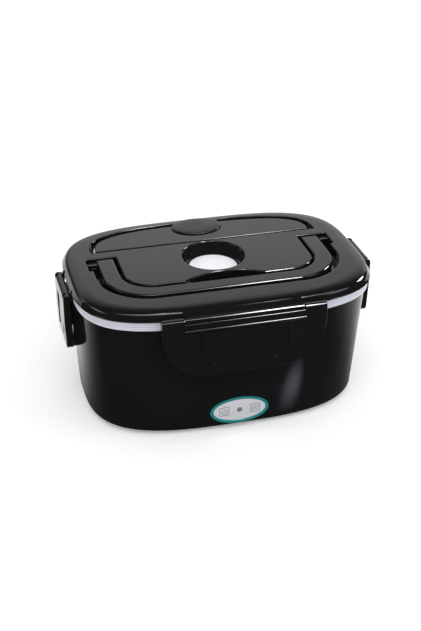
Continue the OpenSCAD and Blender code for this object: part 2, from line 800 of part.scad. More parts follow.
// Latch hinges, measured outwards from the middle
wide_axis = lid_b + 2.2;
wide_axis_z = z_top - 5.8;
wide_barrel = 2.8;
end_axis = lid_a + 2.8;
end_axis_z = z_top - 9.9;
end_barrel = 2.5;
back_axis = lid_b + 3.5;
// How far the front latch's bar stands out beyond its face; the back latch's face is level with it
bar_reach = 1.3;
back_face = lid_b + latch_reach + bar_reach;
boss_half = boss_width / 2;
boss_nose = 2.6;
ear_thick = 2.4;
ear_nose = 2.2;
end_ear_x = end_latch / 2 - latch_wall - 0.3 - ear_thick / 2;
back_ear_x = back_latch_width / 2 - latch_wall - 0.3 - ear_thick / 2;

// Section of the lid's edge from the flat top outwards: share of the width, share of the drop
shoulder_line = [[1, 0], [0.77, 0.055], [0.55, 0.15], [0.41, 0.25], [0.24, 0.41], [0.11, 0.63],
    [0.03, 0.85], [0, 1]];
function shoulder(i, inset) = let (s = shoulder_line[i])
    [z_top - inset - s[1] * (z_top - z_skirt - 0.4 - inset),
    lid_a - inset - shoulder_width * s[0],
    lid_b - inset - shoulder_width * s[0], lid_squareness];
module lid_skin() {
    last = len(shoulder_line) - 1;
    cup(concat([for (i = [0:last]) shoulder(i, lid_wall)],
        [[z_skirt, lid_a - lid_wall, lid_b - lid_wall, lid_squareness],
        [z_skirt, lid_a - 0.4, lid_b - 0.4, lid_squareness]],
        [for (i = [last:-1:0]) shoulder(i, 0)]));
}
// A prism along X, drawn in section as [distance out towards -Y, height]
module across_x(half) {
    rotate([90, 0, -90])
        translate([0, 0, -half])
            linear_extrude(2 * half)
                children();
}
// The ridge that carries the front latch, from the lid's top out to a round nose on the pin
module latch_boss() {
    inner = lid_b - shoulder_width - 1;
    across_x(boss_half)
        polygon(concat([[lid_b - lid_wall - 0.2, z_skirt + 1.7], [inner, z_skirt + 2.4],
            [inner, z_top - 0.1], [lid_b - 9, z_top - 0.2], [lid_b - 4.5, z_top - 1.05],
            [lid_b + 0.8, z_top - 2.85]],
            arc(wide_axis, wide_axis_z, boss_nose, 100, -90),
            [[band_b + 0.5, wide_axis_z - boss_nose], [band_b + 0.5, z_skirt],
            [lid_b - lid_wall + 0.4, z_skirt]]));
}
// Two ears under the skirt, for a low latch whose lid edge and hinge axis are given
module latch_ears(edge, axis, x) {
    band = edge - band_inset;
    for (s = [-1, 1])
        translate([s * x, 0, 0])
            across_x(ear_thick / 2)
                polygon(concat(arc(axis, end_axis_z, ear_nose, -90, 120),
                    [[edge, z_skirt + 1.5], [edge - 1.5, z_skirt + 1.5],
                    [edge - 1.5, z_skirt + 0.1], [band + 0.4, z_skirt - 0.1],
                    [band + 0.4, end_axis_z - ear_nose]]));
}
module tub(low, high) {
    translate([0, 0, low])
        linear_extrude(high - low)
            children();
}
module lid_shell() {
    t = lid_wall;
    color(black)
    difference() {
        union() {
            lid_skin();
            // Tub under the handle's trough, hollow under the middle plate
            tub(z_trough - t, z_top - t / 2)
                difference() {
                    union() {
                        polygon(front_rounded(trough_half + t, trough_front - t,
                            trough_back + t, trough_corner + t));
                        for (s = [-1, 1])
                            translate([s * (notch_x / 2 + 1.7), (notch_front + trough_back) / 2])
                                square([notch_x + 3.4, trough_back - notch_front + 2 * t],
                                    center = true);
                    }
                    polygon(front_rounded(plate_half - t, plate_front + t,
                        trough_back + 3 * t, plate_corner - t));
                }
            // Pad under the finger notch
            tub(z_trough - t, z_top - t / 2)
                intersection() {
                    translate([0, plate_front - 44.3])
                        circle(r = 53.5 + t);
                    translate([-40, plate_front - 1])
                        square([80, 12 + t]);
                }
            // Tub under the cutlery compartment, shallow under its groove
            tub(z_ledge - t, z_top - t / 2)
                union() {
                    polygon(d_outline(pocket_a + t, pocket_b + t, pocket_front, cover_squareness));
                    translate([-pocket_a - t, pocket_front - t])
                        square([2 * pocket_a + 2 * t, t + 0.1]);
                }
            tub(z_compartment - t, z_ledge)
                union() {
                    polygon(d_outline(pocket_a - 8 + t, pocket_b - 8 + t, pocket_front + 2,
                        cover_squareness));
                    translate([-pocket_a + 8 - t, pocket_front + 2 - t])
                        square([2 * pocket_a - 16 + 2 * t, t + 0.1]);
                }
            // Bowl under the vent well
            translate([0, well_y, z_well - t])
                cylinder(r1 = well_floor_radius + t, r2 = well_radius + t,
                    h = well_depth + t / 2);
            latch_boss();
            rotate([0, 0, 180])
                latch_ears(lid_b, back_axis, back_ear_x);
            for (s = [-1, 1])
                translate([0, end_latch_y, 0])
                    rotate([0, 0, s * 90])
                        latch_ears(lid_a, end_axis, end_ear_x);
        }
        // Trough for the handle
        tub(z_trough, z_top + 2)
            difference() {
                polygon(front_rounded(trough_half, trough_front, trough_back, trough_corner));
                polygon(front_rounded(plate_half, plate_front, trough_back + 2, plate_corner));
            }
        for (s = [-1, 1])
            translate([s * (trough_half + notch_x) / 2, (notch_front + trough_back) / 2,
                z_trough + trough_depth / 2 + 1])
                cube([notch_x - trough_half + eps, trough_back - notch_front,
                    trough_depth + 2], center = true);
        // Finger notch in the middle plate
        tub(z_trough, z_top + 2)
            intersection() {
                translate([0, plate_front - 44.3])
                    circle(r = 53.5);
                translate([-34, plate_front - 1])
                    square([68, 12]);
            }
        // Cutlery compartment and the ledge under its cover
        tub(z_ledge, z_top + 2)
            polygon(d_outline(pocket_a, pocket_b, pocket_front, cover_squareness));
        tub(z_compartment, z_top + 2)
            polygon(d_outline(pocket_a - 8, pocket_b - 8, pocket_front + 2, cover_squareness));
        // Vent well, and the hole through its floor
        translate([0, well_y, z_well])
            cylinder(r1 = well_floor_radius, r2 = well_radius, h = well_depth + eps);
        translate([0, well_y, z_liner])
            cylinder(r = stem_radius + 0.3, h = 30);
        // Pivot bores
        for (s = [-1, 1]) {
            translate([s * (notch_x - 1), handle_pivot_y, handle_pivot_z])
                rotate([0, s * 90, 0])
                    cylinder(r = handle_pin_radius + running, h = 3.2);
            translate([s * (pocket_a - 1), cover_hinge_y, cover_hinge_z])
                rotate([0, s * 90, 0])
                    cylinder(r = cover_pin_radius + running, h = 2.6);
        }
        // Hollows for the front latch's knuckles
        for (x = [-1, 1])
            translate([x * (boss_half + wide_latch / 2) / 2 + x * 0.2, -wide_axis, wide_axis_z])
                rotate([0, 90, 0])
                    cylinder(r = wide_barrel + 0.35, h = (wide_latch - boss_width) / 2 + 0.4,
                        center = true);
        // Bores for the latch pins
        translate([-boss_half - 1, -wide_axis, wide_axis_z])
            rotate([0, 90, 0])
                cylinder(r = latch_pin_radius + snug, h = boss_width + 2);
        translate([-back_latch_width / 2, back_axis, end_axis_z])
            rotate([0, 90, 0])
                cylinder(r = latch_pin_radius + snug, h = back_latch_width);
        for (x = [-end_axis, end_axis])
            translate([x, end_latch_y + end_latch / 2, end_axis_z])
                rotate([90, 0, 0])
                    cylinder(r = latch_pin_radius + snug, h = end_latch);
    }
}

// White plate under the lid: it enters the casing and carries the seal
liner_inset = shell_wall + 0.5 + casing_wall + 0.7;
seal_z = z_band - 6;
module lid_liner() {
    t = 1.8;
    p = shell_at(z_rim, liner_inset);
    n = rim_squareness;
    color(white)
    difference() {
        union() {
            cup([[z_liner, p[1] - 2.5, p[2] - 2.5, n], [z_liner + 2.5, p[1], p[2], n],
                [seal_z, p[1], p[2], n], [seal_z, p[1] - 0.9, p[2] - 0.9, n],
                [seal_z + 3, p[1] - 0.9, p[2] - 0.9, n], [seal_z + 3, p[1], p[2], n],
                [z_skirt, p[1], p[2], n], [z_skirt, lid_a - lid_wall - 0.5, lid_b - lid_wall - 0.5, n],
                [z_skirt + 1.2, lid_a - lid_wall - 0.6, lid_b - lid_wall - 0.6, n],
                [z_skirt + 1.2, p[1] - t, p[2] - t, n],
                [z_liner + t + 1.5, p[1] - t - 0.9, p[2] - t - 0.9, n],
                [z_liner + t, p[1] - t - 3, p[2] - t - 3, n]]);
            translate([0, well_y, z_liner + t / 2])
                cylinder(r = stem_radius + 2.4, h = z_well - lid_wall - z_liner - t / 2 - 0.1);
        }
        translate([0, well_y, z_liner - 1])
            cylinder(r = stem_radius + 0.3, h = 40);
        // Relief round the back of the cutlery compartment
        tub(z_ledge - lid_wall - seat, z_top)
            polygon(d_outline(pocket_a + lid_wall + seat, pocket_b + lid_wall + seat,
                pocket_front, cover_squareness));
    }
}
module lid_seal() {
    p = shell_at(z_rim, liner_inset);
    n = rim_squareness;
    color("#b9bcc4")
    hoop([[seal_z + 0.1, p[1] - 0.8, p[2] - 0.8, n], [seal_z + 0.1, p[1] + 0.1, p[2] + 0.1, n],
        [seal_z + 1.3, p[1] + 0.45, p[2] + 0.45, n], [seal_z + 2.9, p[1] + 0.1, p[2] + 0.1, n],
        [seal_z + 2.9, p[1] - 0.8, p[2] - 0.8, n]]);
}

module latch_pins() {
    color(steel) {
        translate([-wide_latch / 2 + 2.2, -wide_axis, wide_axis_z])
            rotate([0, 90, 0])
                cylinder(r = latch_pin_radius, h = wide_latch - 4.4);
        translate([-back_latch_width / 2 + 0.8, back_axis, end_axis_z])
            rotate([0, 90, 0])
                cylinder(r = latch_pin_radius, h = back_latch_width - 1.6);
        for (x = [-end_axis, end_axis])
            translate([x, end_latch_y + end_latch / 2 - 0.8, end_axis_z])
                rotate([90, 0, 0])
                    cylinder(r = latch_pin_radius, h = end_latch - 1.6);
    }
}

// Handle: a flat U that folds into the trough, with a pin on each arm's end
module handle() {
    half = handle_span / 2;
    low = z_top - 0.2 - handle_thick;
    back = handle_pivot_y + 3.2;
    color(black)
    union() {
        translate([0, 0, low])
            linear_extrude(handle_thick)
                difference() {
                    polygon(front_rounded(half, -handle_front, back, trough_corner - trough_gap + 0.7));
                    polygon(front_rounded(half - handle_bar, -handle_front + handle_bar - 0.5,
                        back + 1, plate_corner + 3));
                }
        for (s = [-1, 1])
            translate([s * (half - 4), handle_pivot_y, handle_pivot_z])
                rotate([0, s * 90, 0])
                    cylinder(r = handle_pin_radius, h = notch_x + 1.8 - half + 4);
    }
}

// Cutlery cover: a D-shaped flap that opens from its tab at the back
module cutlery_cover() {
    a = cover_length / 2;
    top = z_top - 0.1;
    tab_y = cover_front + cover_depth - 6;
    color(black)
    union() {
        translate([0, 0, top - cover_thick])
            linear_extrude(cover_thick)
                polygon(d_outline(a, cover_depth, cover_front, cover_squareness));
        // Down-turned rim that stands on the ledge
        translate([0, 0, z_ledge + seat])
            linear_extrude(top - z_ledge - seat - cover_thick / 2)
                intersection() {
                    difference() {
                        polygon(d_outline(a - 1, cover_depth - 1, cover_front, cover_squareness));
                        polygon(d_outline(a - 3, cover_depth - 3, cover_front, cover_squareness));
                    }
                    translate([-a, cover_hinge_y + 3])
                        square([2 * a, cover_depth]);
                }
        // Thumb tab over the back groove
        translate([0, tab_y, z_top + 0.3])
            linear_extrude(tab_height - 0.3)
                polygon(oval(19.5, 14));
        translate([0, tab_y, top - cover_thick / 2])
            linear_extrude(cover_thick)
                intersection() {
                    polygon(oval(18.5, 13));
                    translate([-30, -20])
                        square([60, 24]);
                }
        for (s = [-1, 1])
            translate([s * (a - 6), cover_hinge_y, cover_hinge_z])
                rotate([0, s * 90, 0])
                    cylinder(r = cover_pin_radius, h = pocket_a + 1.2 - a + 6);
        for (s = [-1, 1])
            translate([s * (a - 6) - 2, cover_hinge_y - 1.1, cover_hinge_z - 1.5])
                cube([4, 3.2, 2.6]);
    }
}

// Vent plug: a soft white button with a stem through the lid and its plate
module vent_plug() {
    color(white)
    translate([0, well_y, 0])
        rotate_extrude()
            polygon([[0, z_liner - 1.2], [stem_radius - 1, z_liner - 1.2], [stem_radius, z_liner],
                [stem_radius, z_well + 0.1], [well_floor_radius - 1.2, z_well + 0.1],
                [well_floor_radius - 0.9, z_well + 0.5], [well_floor_radius - 1.2, z_well + 1.4],
                [10, z_well + 2.2], [0, z_well + 2.5]]);
}

// One latch, drawn at the front: a hollow flap with a round top on the pin and a hook inside
module latch(half, face, axis, axis_z, barrel, low, corner, wall_rim, draft, hook_half) {
    lean = 1;
    inner_low = wall_rim - draft * (z_rim - low) + 4.6;
    wall_mid = wall_rim - draft * (z_rim - keeper_top + keeper_thick);
    hook_top = keeper_top - keeper_thick - 0.3;
    tip = wall_mid + hook_gap;
    round_top = barrel - 0.2;
    module flap_shape(inset) {
        rotate([90, 0, 0])
            linear_extrude(face + 1)
                polygon(concat([[half - inset, axis_z + 8], [-half + inset, axis_z + 8]],
                    arc(-half + corner, low + corner, corner - inset, 180, 270),
                    arc(half - corner, low + corner, corner - inset, 270, 360)));
    }
    difference() {
        union() {
            difference() {
                intersection() {
                    across_x(half + 1)
                        polygon(concat([[inner_low, low - 1], [face - lean, low - 1],
                            [face, low + 22]],
                            arc(face - round_top, axis_z + 0.2, round_top, 0, 90),
                            arc(axis, axis_z, barrel, 90, 200),
                            [[axis - barrel + 0.8, axis_z - 3.5]]));
                    flap_shape(0);
                }
                // Hollow behind the face
                intersection() {
                    across_x(half + 1)
                        polygon([[0, low - 2], [face - lean - latch_wall, low - 2],
                            [face - latch_wall, low + 22], [face - latch_wall, axis_z - 4.4],
                            [0, axis_z - 4.4]]);
                    flap_shape(latch_wall);
                }
            }
            // Hook under the keeper's ledge
            translate([-hook_half, -face + 1.3, hook_top - hook_height])
                cube([2 * hook_half, face - 1.3 - tip, hook_height]);
        }
        // Bore for the hinge pin
        across_x(half - 0.6)
            translate([axis, axis_z])
                circle(r = latch_pin_radius + running);
        // Shallow thumb panel in the face
        translate([0, -face - 1, 0])
            rotate([-90, 0, 0])
                mirror([0, 1, 0])
                    linear_extrude(1.6)
                        polygon(front_rounded(half * 0.535, low + 7.8, axis_z - 7.4,
                            min(15, corner * 1.1)));
    }
}
module front_latch() {
    window = boss_half + 0.4;
    face = lid_b + latch_reach;
    color(black)
    difference() {
        union() {
            latch(wide_latch / 2, face, wide_axis, wide_axis_z, wide_barrel, wide_latch_low, 34,
                shell_b, side_draft, wide_hook);
            // Bar along the top of the flap, round the boss's nose
            across_x(window + 0.6)
                translate([face, wide_axis_z])
                    polygon([[-2.6, -0.4], [bar_reach - 0.6, -0.4], [bar_reach - 0.1, -1.4],
                        [bar_reach, -3.4], [bar_reach - 0.1, -5.4], [bar_reach - 0.6, -6.9],
                        [0, -7.3], [-2.6, -7.3]]);
        }
        // Room for the boss
        across_x(window)
            translate([wide_axis, wide_axis_z])
                union() {
                    circle(r = boss_nose + 0.35);
                    translate([-20, -0.4])
                        square([30, 20]);
                    translate([-20, -boss_nose - 0.35])
                        square([20, 20]);
                }
    }
}
// A low latch, whose top lies under the skirt
module low_latch(half, face, axis, x, wall_rim, draft, hook_half) {
    color(black)
    difference() {
        latch(half, face, axis, end_axis_z, end_barrel, end_latch_low, 5, wall_rim, draft,
            hook_half);
        // Slots for the ears
        for (s = [-1, 1])
            translate([s * x, 0, 0])
                across_x(ear_thick / 2 + 0.3)
                    translate([axis, end_axis_z])
                        union() {
                            circle(r = ear_nose + 0.35);
                            translate([-20, 0])
                                square([30, 20]);
                            translate([-20, -ear_nose - 0.35])
                                square([20, 20]);
                        }
    }
}
module end_latch_piece() {
    low_latch(end_latch / 2, lid_a + latch_reach, end_axis, end_ear_x, shell_a, end_draft,
        end_hook);
}
module back_latch() {
    rotate([0, 0, 180])
        low_latch(back_latch_width / 2, back_face, back_axis, back_ear_x, shell_b, side_draft,
            back_hook);
}
module left_latch() {
    translate([0, end_latch_y, 0])
        rotate([0, 0, -90])
            end_latch_piece();
}
module right_latch() {
    translate([0, end_latch_y, 0])
        rotate([0, 0, 90])
            end_latch_piece();
}

outer_shell();
inner_casing();
heating_plate();
plate_seal();
retainer_bars();
plate_screws();
ptc_heater();
heater_clamp();
thermostat();
thermal_fuse();
fuse_clip();
insulation_pad();
inlet_socket();
inlet_pins();
lamp_rim();
lamp_face();
indicator_lamp();
lamp_board();
live_wire();
link_wires();
neutral_wire();
lamp_wires();
base_screws();
rubber_feet();
food_tray();
side_dish();
lid_shell();
lid_liner();
lid_seal();
latch_pins();
handle();
cutlery_cover();
vent_plug();
front_latch();
back_latch();
left_latch();
right_latch();
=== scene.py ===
from math import asin, copysign, cos, hypot, pi, radians, sin
import bmesh
import bpy
from mathutils import Matrix, Vector


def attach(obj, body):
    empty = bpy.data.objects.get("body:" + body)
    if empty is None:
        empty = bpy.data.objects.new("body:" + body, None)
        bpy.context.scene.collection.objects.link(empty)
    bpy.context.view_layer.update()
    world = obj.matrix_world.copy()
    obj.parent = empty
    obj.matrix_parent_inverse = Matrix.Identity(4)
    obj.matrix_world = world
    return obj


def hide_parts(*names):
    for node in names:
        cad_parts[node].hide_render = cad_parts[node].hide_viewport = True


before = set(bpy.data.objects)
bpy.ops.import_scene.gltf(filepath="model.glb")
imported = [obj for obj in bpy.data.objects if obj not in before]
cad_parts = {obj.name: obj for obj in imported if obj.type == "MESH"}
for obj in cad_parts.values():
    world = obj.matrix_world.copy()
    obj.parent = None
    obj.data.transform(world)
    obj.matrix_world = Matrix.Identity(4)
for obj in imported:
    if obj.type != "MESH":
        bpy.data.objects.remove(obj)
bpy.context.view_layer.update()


# Camera
# The photograph was taken from the front left, a little above the lid, with a long lens.
# The place and the turn come from matching the outlines of the lid, the shell and the latches.
def look(yaw, pitch, roll):
    forward = Vector((sin(yaw) * cos(pitch), cos(yaw) * cos(pitch), -sin(pitch)))
    level = Vector((cos(yaw), -sin(yaw), 0))
    up = level.cross(forward)
    right = cos(roll) * level + sin(roll) * up
    return Matrix((right, cos(roll) * up - sin(roll) * level, -forward)).transposed()


camera = bpy.data.objects.new("camera", bpy.data.cameras.new("camera"))
bpy.context.scene.collection.objects.link(camera)
camera.data.sensor_width = 36
camera.data.lens = 68.46
camera.location = (-0.21051, -0.76505, 0.50230)
camera.rotation_euler = look(radians(15.16), radians(29.31), radians(0.21)).to_euler()
bpy.context.scene.camera = camera
bpy.context.scene.view_settings.view_transform = "Standard"


# Studio: a seamless white sweep
# The camera and the reflections see plain white. The floor adds the light that falls on it to
# a pale glow, so it stays white and still keeps the soft grey shadow of the box.
def linear(code):
    """A colour for a socket, from its sRGB hex code."""
    values = [int(code[i:i + 2], 16) / 255 for i in (1, 3, 5)]
    return [v / 12.92 if v <= 0.04045 else ((v + 0.055) / 1.055) ** 2.4 for v in values] + [1]


def add(tree, kind, settings=None, **links):
    """A node with its settings and its links; _0 is the first input, From_Min is From Min."""
    made = tree.nodes.new("ShaderNode" + kind)
    for name, value in (settings or {}).items():
        if name in made.inputs:
            made.inputs[name].default_value = value
        else:
            setattr(made, name, value)
    for name, source in links.items():
        key = int(name[1:]) if name[1:].isdigit() else name.replace("_", " ")
        tree.links.new(source, made.inputs[key])
    return made


def seen_directly(tree):
    """1 for the camera's own rays and for what gloss and clear things show, else 0."""
    path = add(tree, "LightPath")
    seen = add(tree, "Math", {"operation": "MAXIMUM"}, _0=path.outputs["Is Camera Ray"],
               _1=path.outputs["Is Glossy Ray"])
    return add(tree, "Math", {"operation": "MAXIMUM"}, _0=seen.outputs[0],
               _1=path.outputs["Is Transmission Ray"]).outputs[0]


world = bpy.data.worlds.new("studio")
bpy.context.scene.world = world
world.use_nodes = True
tree = world.node_tree
tree.nodes.clear()
lit = add(tree, "Background", {"Color": linear("#ffffff"), "Strength": 0.72})
shown = add(tree, "Background", {"Color": linear("#ffffff"), "Strength": 1.0})
mix = add(tree, "MixShader", None, _0=seen_directly(tree), _1=lit.outputs[0],
          _2=shown.outputs[0])
add(tree, "OutputWorld", None, Surface=mix.outputs[0])


def card(name, start, along, up, colour="#ffffff", glow=0, ellipse=None, thins=None):
    """A flat card, from a corner and two edges in metres. It fades out to the rim of an ellipse
    (middle, half sizes, turn in degrees), or thins out between two places on Y."""
    start, along, up = Vector(start), Vector(along), Vector(up)
    mesh = bpy.data.meshes.new(name)
    mesh.from_pydata([start, start + along, start + along + up, start + up], [], [(0, 1, 2, 3)])
    sheet = bpy.data.objects.new(name, mesh)
    bpy.context.scene.collection.objects.link(sheet)
    paint = bpy.data.materials.new(name)
    paint.use_nodes = True
    tree = paint.node_tree
    tree.nodes.clear()
    face = add(tree, "BsdfDiffuse", {"Color": linear(colour)})
    if glow:
        shine = add(tree, "Emission", {"Color": linear(colour), "Strength": glow})
        bright = add(tree, "AddShader", None, _0=face.outputs[0], _1=shine.outputs[0])
        face = add(tree, "MixShader", None, _0=seen_directly(tree), _1=face.outputs[0],
                   _2=bright.outputs[0])
    if ellipse or thins:
        where = add(tree, "TexCoord").outputs["Object"]
        if ellipse:
            middle, half, turn = ellipse
            shrunk = add(tree, "Mapping", {"vector_type": "TEXTURE", "Location": middle,
                                           "Rotation": (0, 0, radians(turn)), "Scale": half},
                         Vector=where)
            way_out = add(tree, "VectorMath", {"operation": "LENGTH"},
                          _0=shrunk.outputs[0]).outputs["Value"]
        else:
            way_out = add(tree, "SeparateXYZ", None, _0=where).outputs["Y"]
        first, last = thins or (0.0, 1.0)
        thin = add(tree, "MapRange", {"interpolation_type": "SMOOTHSTEP", "From Min": first,
                                      "From Max": last}, Value=way_out)
        clear = add(tree, "BsdfTransparent")
        face = add(tree, "MixShader", None, _0=thin.outputs[0], _1=face.outputs[0],
                   _2=clear.outputs[0])
    add(tree, "OutputMaterial", None, Surface=face.outputs[0])
    mesh.materials.append(paint)
    return sheet


def mirror_card(*placing, **settings):
    """A card that only reflections see."""
    sheet = card(*placing, **settings)
    for ray in ("camera", "diffuse", "shadow", "transmission"):
        setattr(sheet, "visible_" + ray, False)
    return sheet


card("floor", (-6, -6, 0), (12, 0, 0), (0, 12, 0), glow=0.26)
# Black flags. The low one keeps the front of the polished shell dark and thins out towards the
# back, the others keep the lid's shoulder and the clips dark.
flag_black = "#262626"
flag_low = mirror_card("flag_low", (-1.5, -1.5, 0.0004), (3, 0, 0), (0, 1.9, 0), flag_black,
                       thins=(-0.08, 0.12))
flag_low.rotation_euler.z = radians(-9)
mirror_card("flag_high", (-1.3, -1.3, 1.0), (2.6, 0, 0), (0, 3.4, 0), flag_black,
            thins=(0.6, 2.0))
mirror_card("flag_front", (-1.3, -1.3, 0), (2.6, 0, 0), (0, 0, 1.0), flag_black)
mirror_card("flag_left", (-1.3, -1.3, 0.1), (0, 2.2, 0), (0, 0, 0.9), flag_black)
mirror_card("flag_right", (1.3, -1.3, 0.1), (0, 2.2, 0), (0, 0, 0.9), flag_black)
mirror_card("flag_back_left", (-2.4, 1.9, 0.02), (3.0, 0, 0), (0, 0, 1.18), flag_black,
            ellipse=((-1.3, 1.9, 0.4), (1.9, 1.0, 1.4), 0))
# Soft boxes for the glints: a long dim one that draws a line along every rounded edge, a narrow
# bright one across it that puts a spark on each, and one at either end for the lid's corners.
mirror_card("softbox_long", (-0.9, -0.6, 0.97), (2.0, 0, 0), (0, 0.5, 0), glow=9.0,
            ellipse=((0.1, -0.35, 0.97), (0.9, 0.22, 1.0), 0))
mirror_card("softbox_narrow", (0.18, -0.9, 0.95), (0.24, 0, 0), (0, 1.0, 0), glow=90.0,
            ellipse=((0.3, -0.4, 0.95), (0.1, 0.45, 1.0), 0))
mirror_card("softbox_left", (-1.2, -0.5, 0.6), (0, 1.2, 0), (0.2, 0, 0.3), glow=4.0,
            ellipse=((-1.1, 0.1, 0.75), (1.0, 0.6, 0.15), 0))
mirror_card("softbox_right", (1.2, 0.15, 0.6), (0, 0.35, 0), (-0.1, 0, 0.25), glow=45.0)
# Light on the table: a wide patch that lifts the right end of the shell and the edge of the
# clip, and a small cool one that shows as the upright gleam at the right front.
mirror_card("bounce_right", (0.1, -0.35, 0.0006), (0.5, 0, 0), (0, 0.7, 0), glow=1.0,
            ellipse=((0.34, 0, 0), (0.22, 0.3, 1.0), 0))
mirror_card("gleam", (0, -0.22, 0.0008), (0.2, 0, 0), (0, 0.16, 0), "#e6e8ff", glow=1.0,
            ellipse=((0.061, -0.103, 0), (0.042, 0.013, 1.0), -49))


def lamp(name, place, aim, size, power, colour="#ffffff", spread=180):
    """A rectangular lamp: size in metres, power in watts, spread of its beam in degrees."""
    light = bpy.data.lights.new(name, "AREA")
    light.shape = "RECTANGLE"
    light.size, light.size_y = size
    light.energy = power
    light.color = linear(colour)[:3]
    light.spread = radians(spread)
    holder = bpy.data.objects.new(name, light)
    holder.location = place
    holder.rotation_euler = (Vector(aim) - Vector(place)).to_track_quat("-Z", "Y").to_euler()
    bpy.context.scene.collection.objects.link(holder)


lamp("key", (-0.25, -0.85, 1.25), (0, 0, 0.05), (0.9, 0.6), 4.2)
lamp("fill_right", (0.95, -0.6, 0.9), (0.05, 0, 0.06), (0.5, 0.5), 2.4, "#eef1ff")
lamp("lid_top", (0, -0.12, 0.95), (0, 0.005, 0.1), (0.06, 0.06), 0.013, spread=14)


# Outer shell
# The black tub of the box: ABS moulded in a polished tool, so it is deep black and mirror-like,
# with the faint ripple that a thick moulding keeps. Its walls lean in towards a rounded base.
# From here on all sizes are in millimetres.
z_base = 1.5  # underside
z_rim = 91.9  # top edge
shell_a = 107.3  # half length at the rim
shell_b = 73.1  # half depth at the rim
lean_a = 0.05  # how far the end walls come in for each millimetre down
lean_b = 0.045  # the same for the long walls
shell_wall = 2.4
z_inside = z_base + shell_wall
keeper_top = z_rim - 13  # top of the ledges that the latches hook under
rib_low_front = 58  # lower ends of the ribs beside the front ledge
rib_low = 55.6  # and beside the other three
end_shift = 1.4  # the end latches stand this far behind the middle


def superellipse(a, b, n, count=224):
    turns = [2 * pi * k / count for k in range(count)]
    return [(a * copysign(abs(cos(t)) ** (2 / n), cos(t)),
             b * copysign(abs(sin(t)) ** (2 / n), sin(t))) for t in turns]


def squareness_at(z):
    return 3 + 0.5 * (z - z_base) / (z_rim - z_base)


def shell_at(z, inset):
    """Outline of the shell's face at a height, less an inset: height, half sizes, squareness."""
    return (z, shell_a - lean_a * (z_rim - z) - inset, shell_b - lean_b * (z_rim - z) - inset,
            squareness_at(z))


def foot_round(z, radius, inset, at=shell_at):
    """Quarter round at the foot of a wall, from the floor outwards and up."""
    made = []
    for i in range(11):
        t = pi / 2 * i / 10
        section = at(z + radius, inset + radius * (1 - sin(t)))
        made.append((z + radius * (1 - cos(t)),) + tuple(section[1:]))
    return made


def loft(rings, closed=False):
    """Solid over rings of points that go up the outside and, where closed, down the inside."""
    count = len(rings[0])
    faces = []
    for i in range(len(rings) if closed else len(rings) - 1):
        for j in range(count):
            k = (i + 1) % len(rings)
            faces.append((i * count + j, i * count + (j + 1) % count,
                          k * count + (j + 1) % count, k * count + j))
    if not closed:
        faces.append(tuple(reversed(range(count))))
        faces.append(tuple(range((len(rings) - 1) * count, len(rings) * count)))
    mesh = bpy.data.meshes.new("shape")
    mesh.from_pydata([p for ring in rings for p in ring], [], faces)
    work = bmesh.new()
    work.from_mesh(mesh)
    bmesh.ops.recalc_face_normals(work, faces=work.faces)
    work.to_mesh(mesh)
    work.free()
    return mesh


def hull(sections, closed=False):
    """Solid over outlines as shell_at gives them."""
    return loft([[(x, y, z) for x, y in superellipse(a, b, n)] for z, a, b, n in sections],
                closed)


def prism(outline, low, high, axis="Z"):
    """An outline drawn along an axis. Along X it is [distance to -Y, height], along Y [x, z]."""
    turn = {"Z": lambda u, v, w: (u, v, w), "X": lambda u, v, w: (w, -u, v),
            "Y": lambda u, v, w: (u, w, v)}[axis]
    return loft([[turn(u, v, w) for u, v in outline] for w in (low, high)])


def rectangle(u0, v0, u1, v1):
    return [(u0, v0), (u1, v0), (u1, v1), (u0, v1)]


def block(x0, y0, z0, x1, y1, z1):
    return prism(rectangle(x0, y0, x1, y1), z0, z1)


def oval(a, b, x=0, y=0, count=128):
    return [(x + a * cos(2 * pi * k / count), y + b * sin(2 * pi * k / count))
            for k in range(count)]


def circle(radius, x=0, y=0, count=64):
    return oval(radius, radius, x, y, count)


def both(near, far):
    """The same stretch of X on the left and on the right."""
    return (-far, -near), (near, far)


def turned(mesh, angle, back=0):
    """The mesh turned about Z, in degrees, then moved back."""
    mesh.transform(Matrix.Translation((0, back, 0)) @ Matrix.Rotation(radians(angle), 4, "Z"))
    return mesh


def at_ends(draw):
    """What a function draws at the front, put at the left and the right end of the box."""
    return [turned(mesh, angle, end_shift) for angle in (-90, 90) for mesh in draw()]


def carve(body, joined=(), removed=(), kept=()):
    """The body with solids joined to it, then others removed, then only what lies in others."""
    bench = bpy.context.scene.collection
    holder = bpy.data.objects.new("work", body)
    bench.objects.link(holder)
    tools = []
    for operation, meshes in (("UNION", joined), ("DIFFERENCE", removed), ("INTERSECT", kept)):
        for mesh in meshes:
            tool = bpy.data.objects.new("tool", mesh)
            bench.objects.link(tool)
            tools.append(tool)
            step = holder.modifiers.new("step", "BOOLEAN")
            step.operation = operation
            step.solver = "EXACT"
            step.object = tool
    graph = bpy.context.evaluated_depsgraph_get()
    graph.update()
    made = bpy.data.meshes.new_from_object(holder.evaluated_get(graph))
    for item in tools + [holder]:
        bpy.data.objects.remove(item)
    return made


def soften(mesh, width=0):
    """Melts needless edges of the carving and rounds the corners that are left by a width."""
    work = bmesh.new()
    work.from_mesh(mesh)
    bmesh.ops.remove_doubles(work, verts=work.verts, dist=0.001)
    bmesh.ops.dissolve_limit(work, angle_limit=radians(0.3), verts=work.verts, edges=work.edges)
    if width:
        sharp = [e for e in work.edges if len(e.link_faces) == 2
                 and e.calc_face_angle(0) > radians(32)]
        bmesh.ops.bevel(work, geom=sharp, offset=width, segments=3, profile=0.5,
                        affect="EDGES", clamp_overlap=False, offset_type="OFFSET")
        bmesh.ops.remove_doubles(work, verts=work.verts, dist=0.001)
    work.to_mesh(mesh)
    work.free()
    return mesh


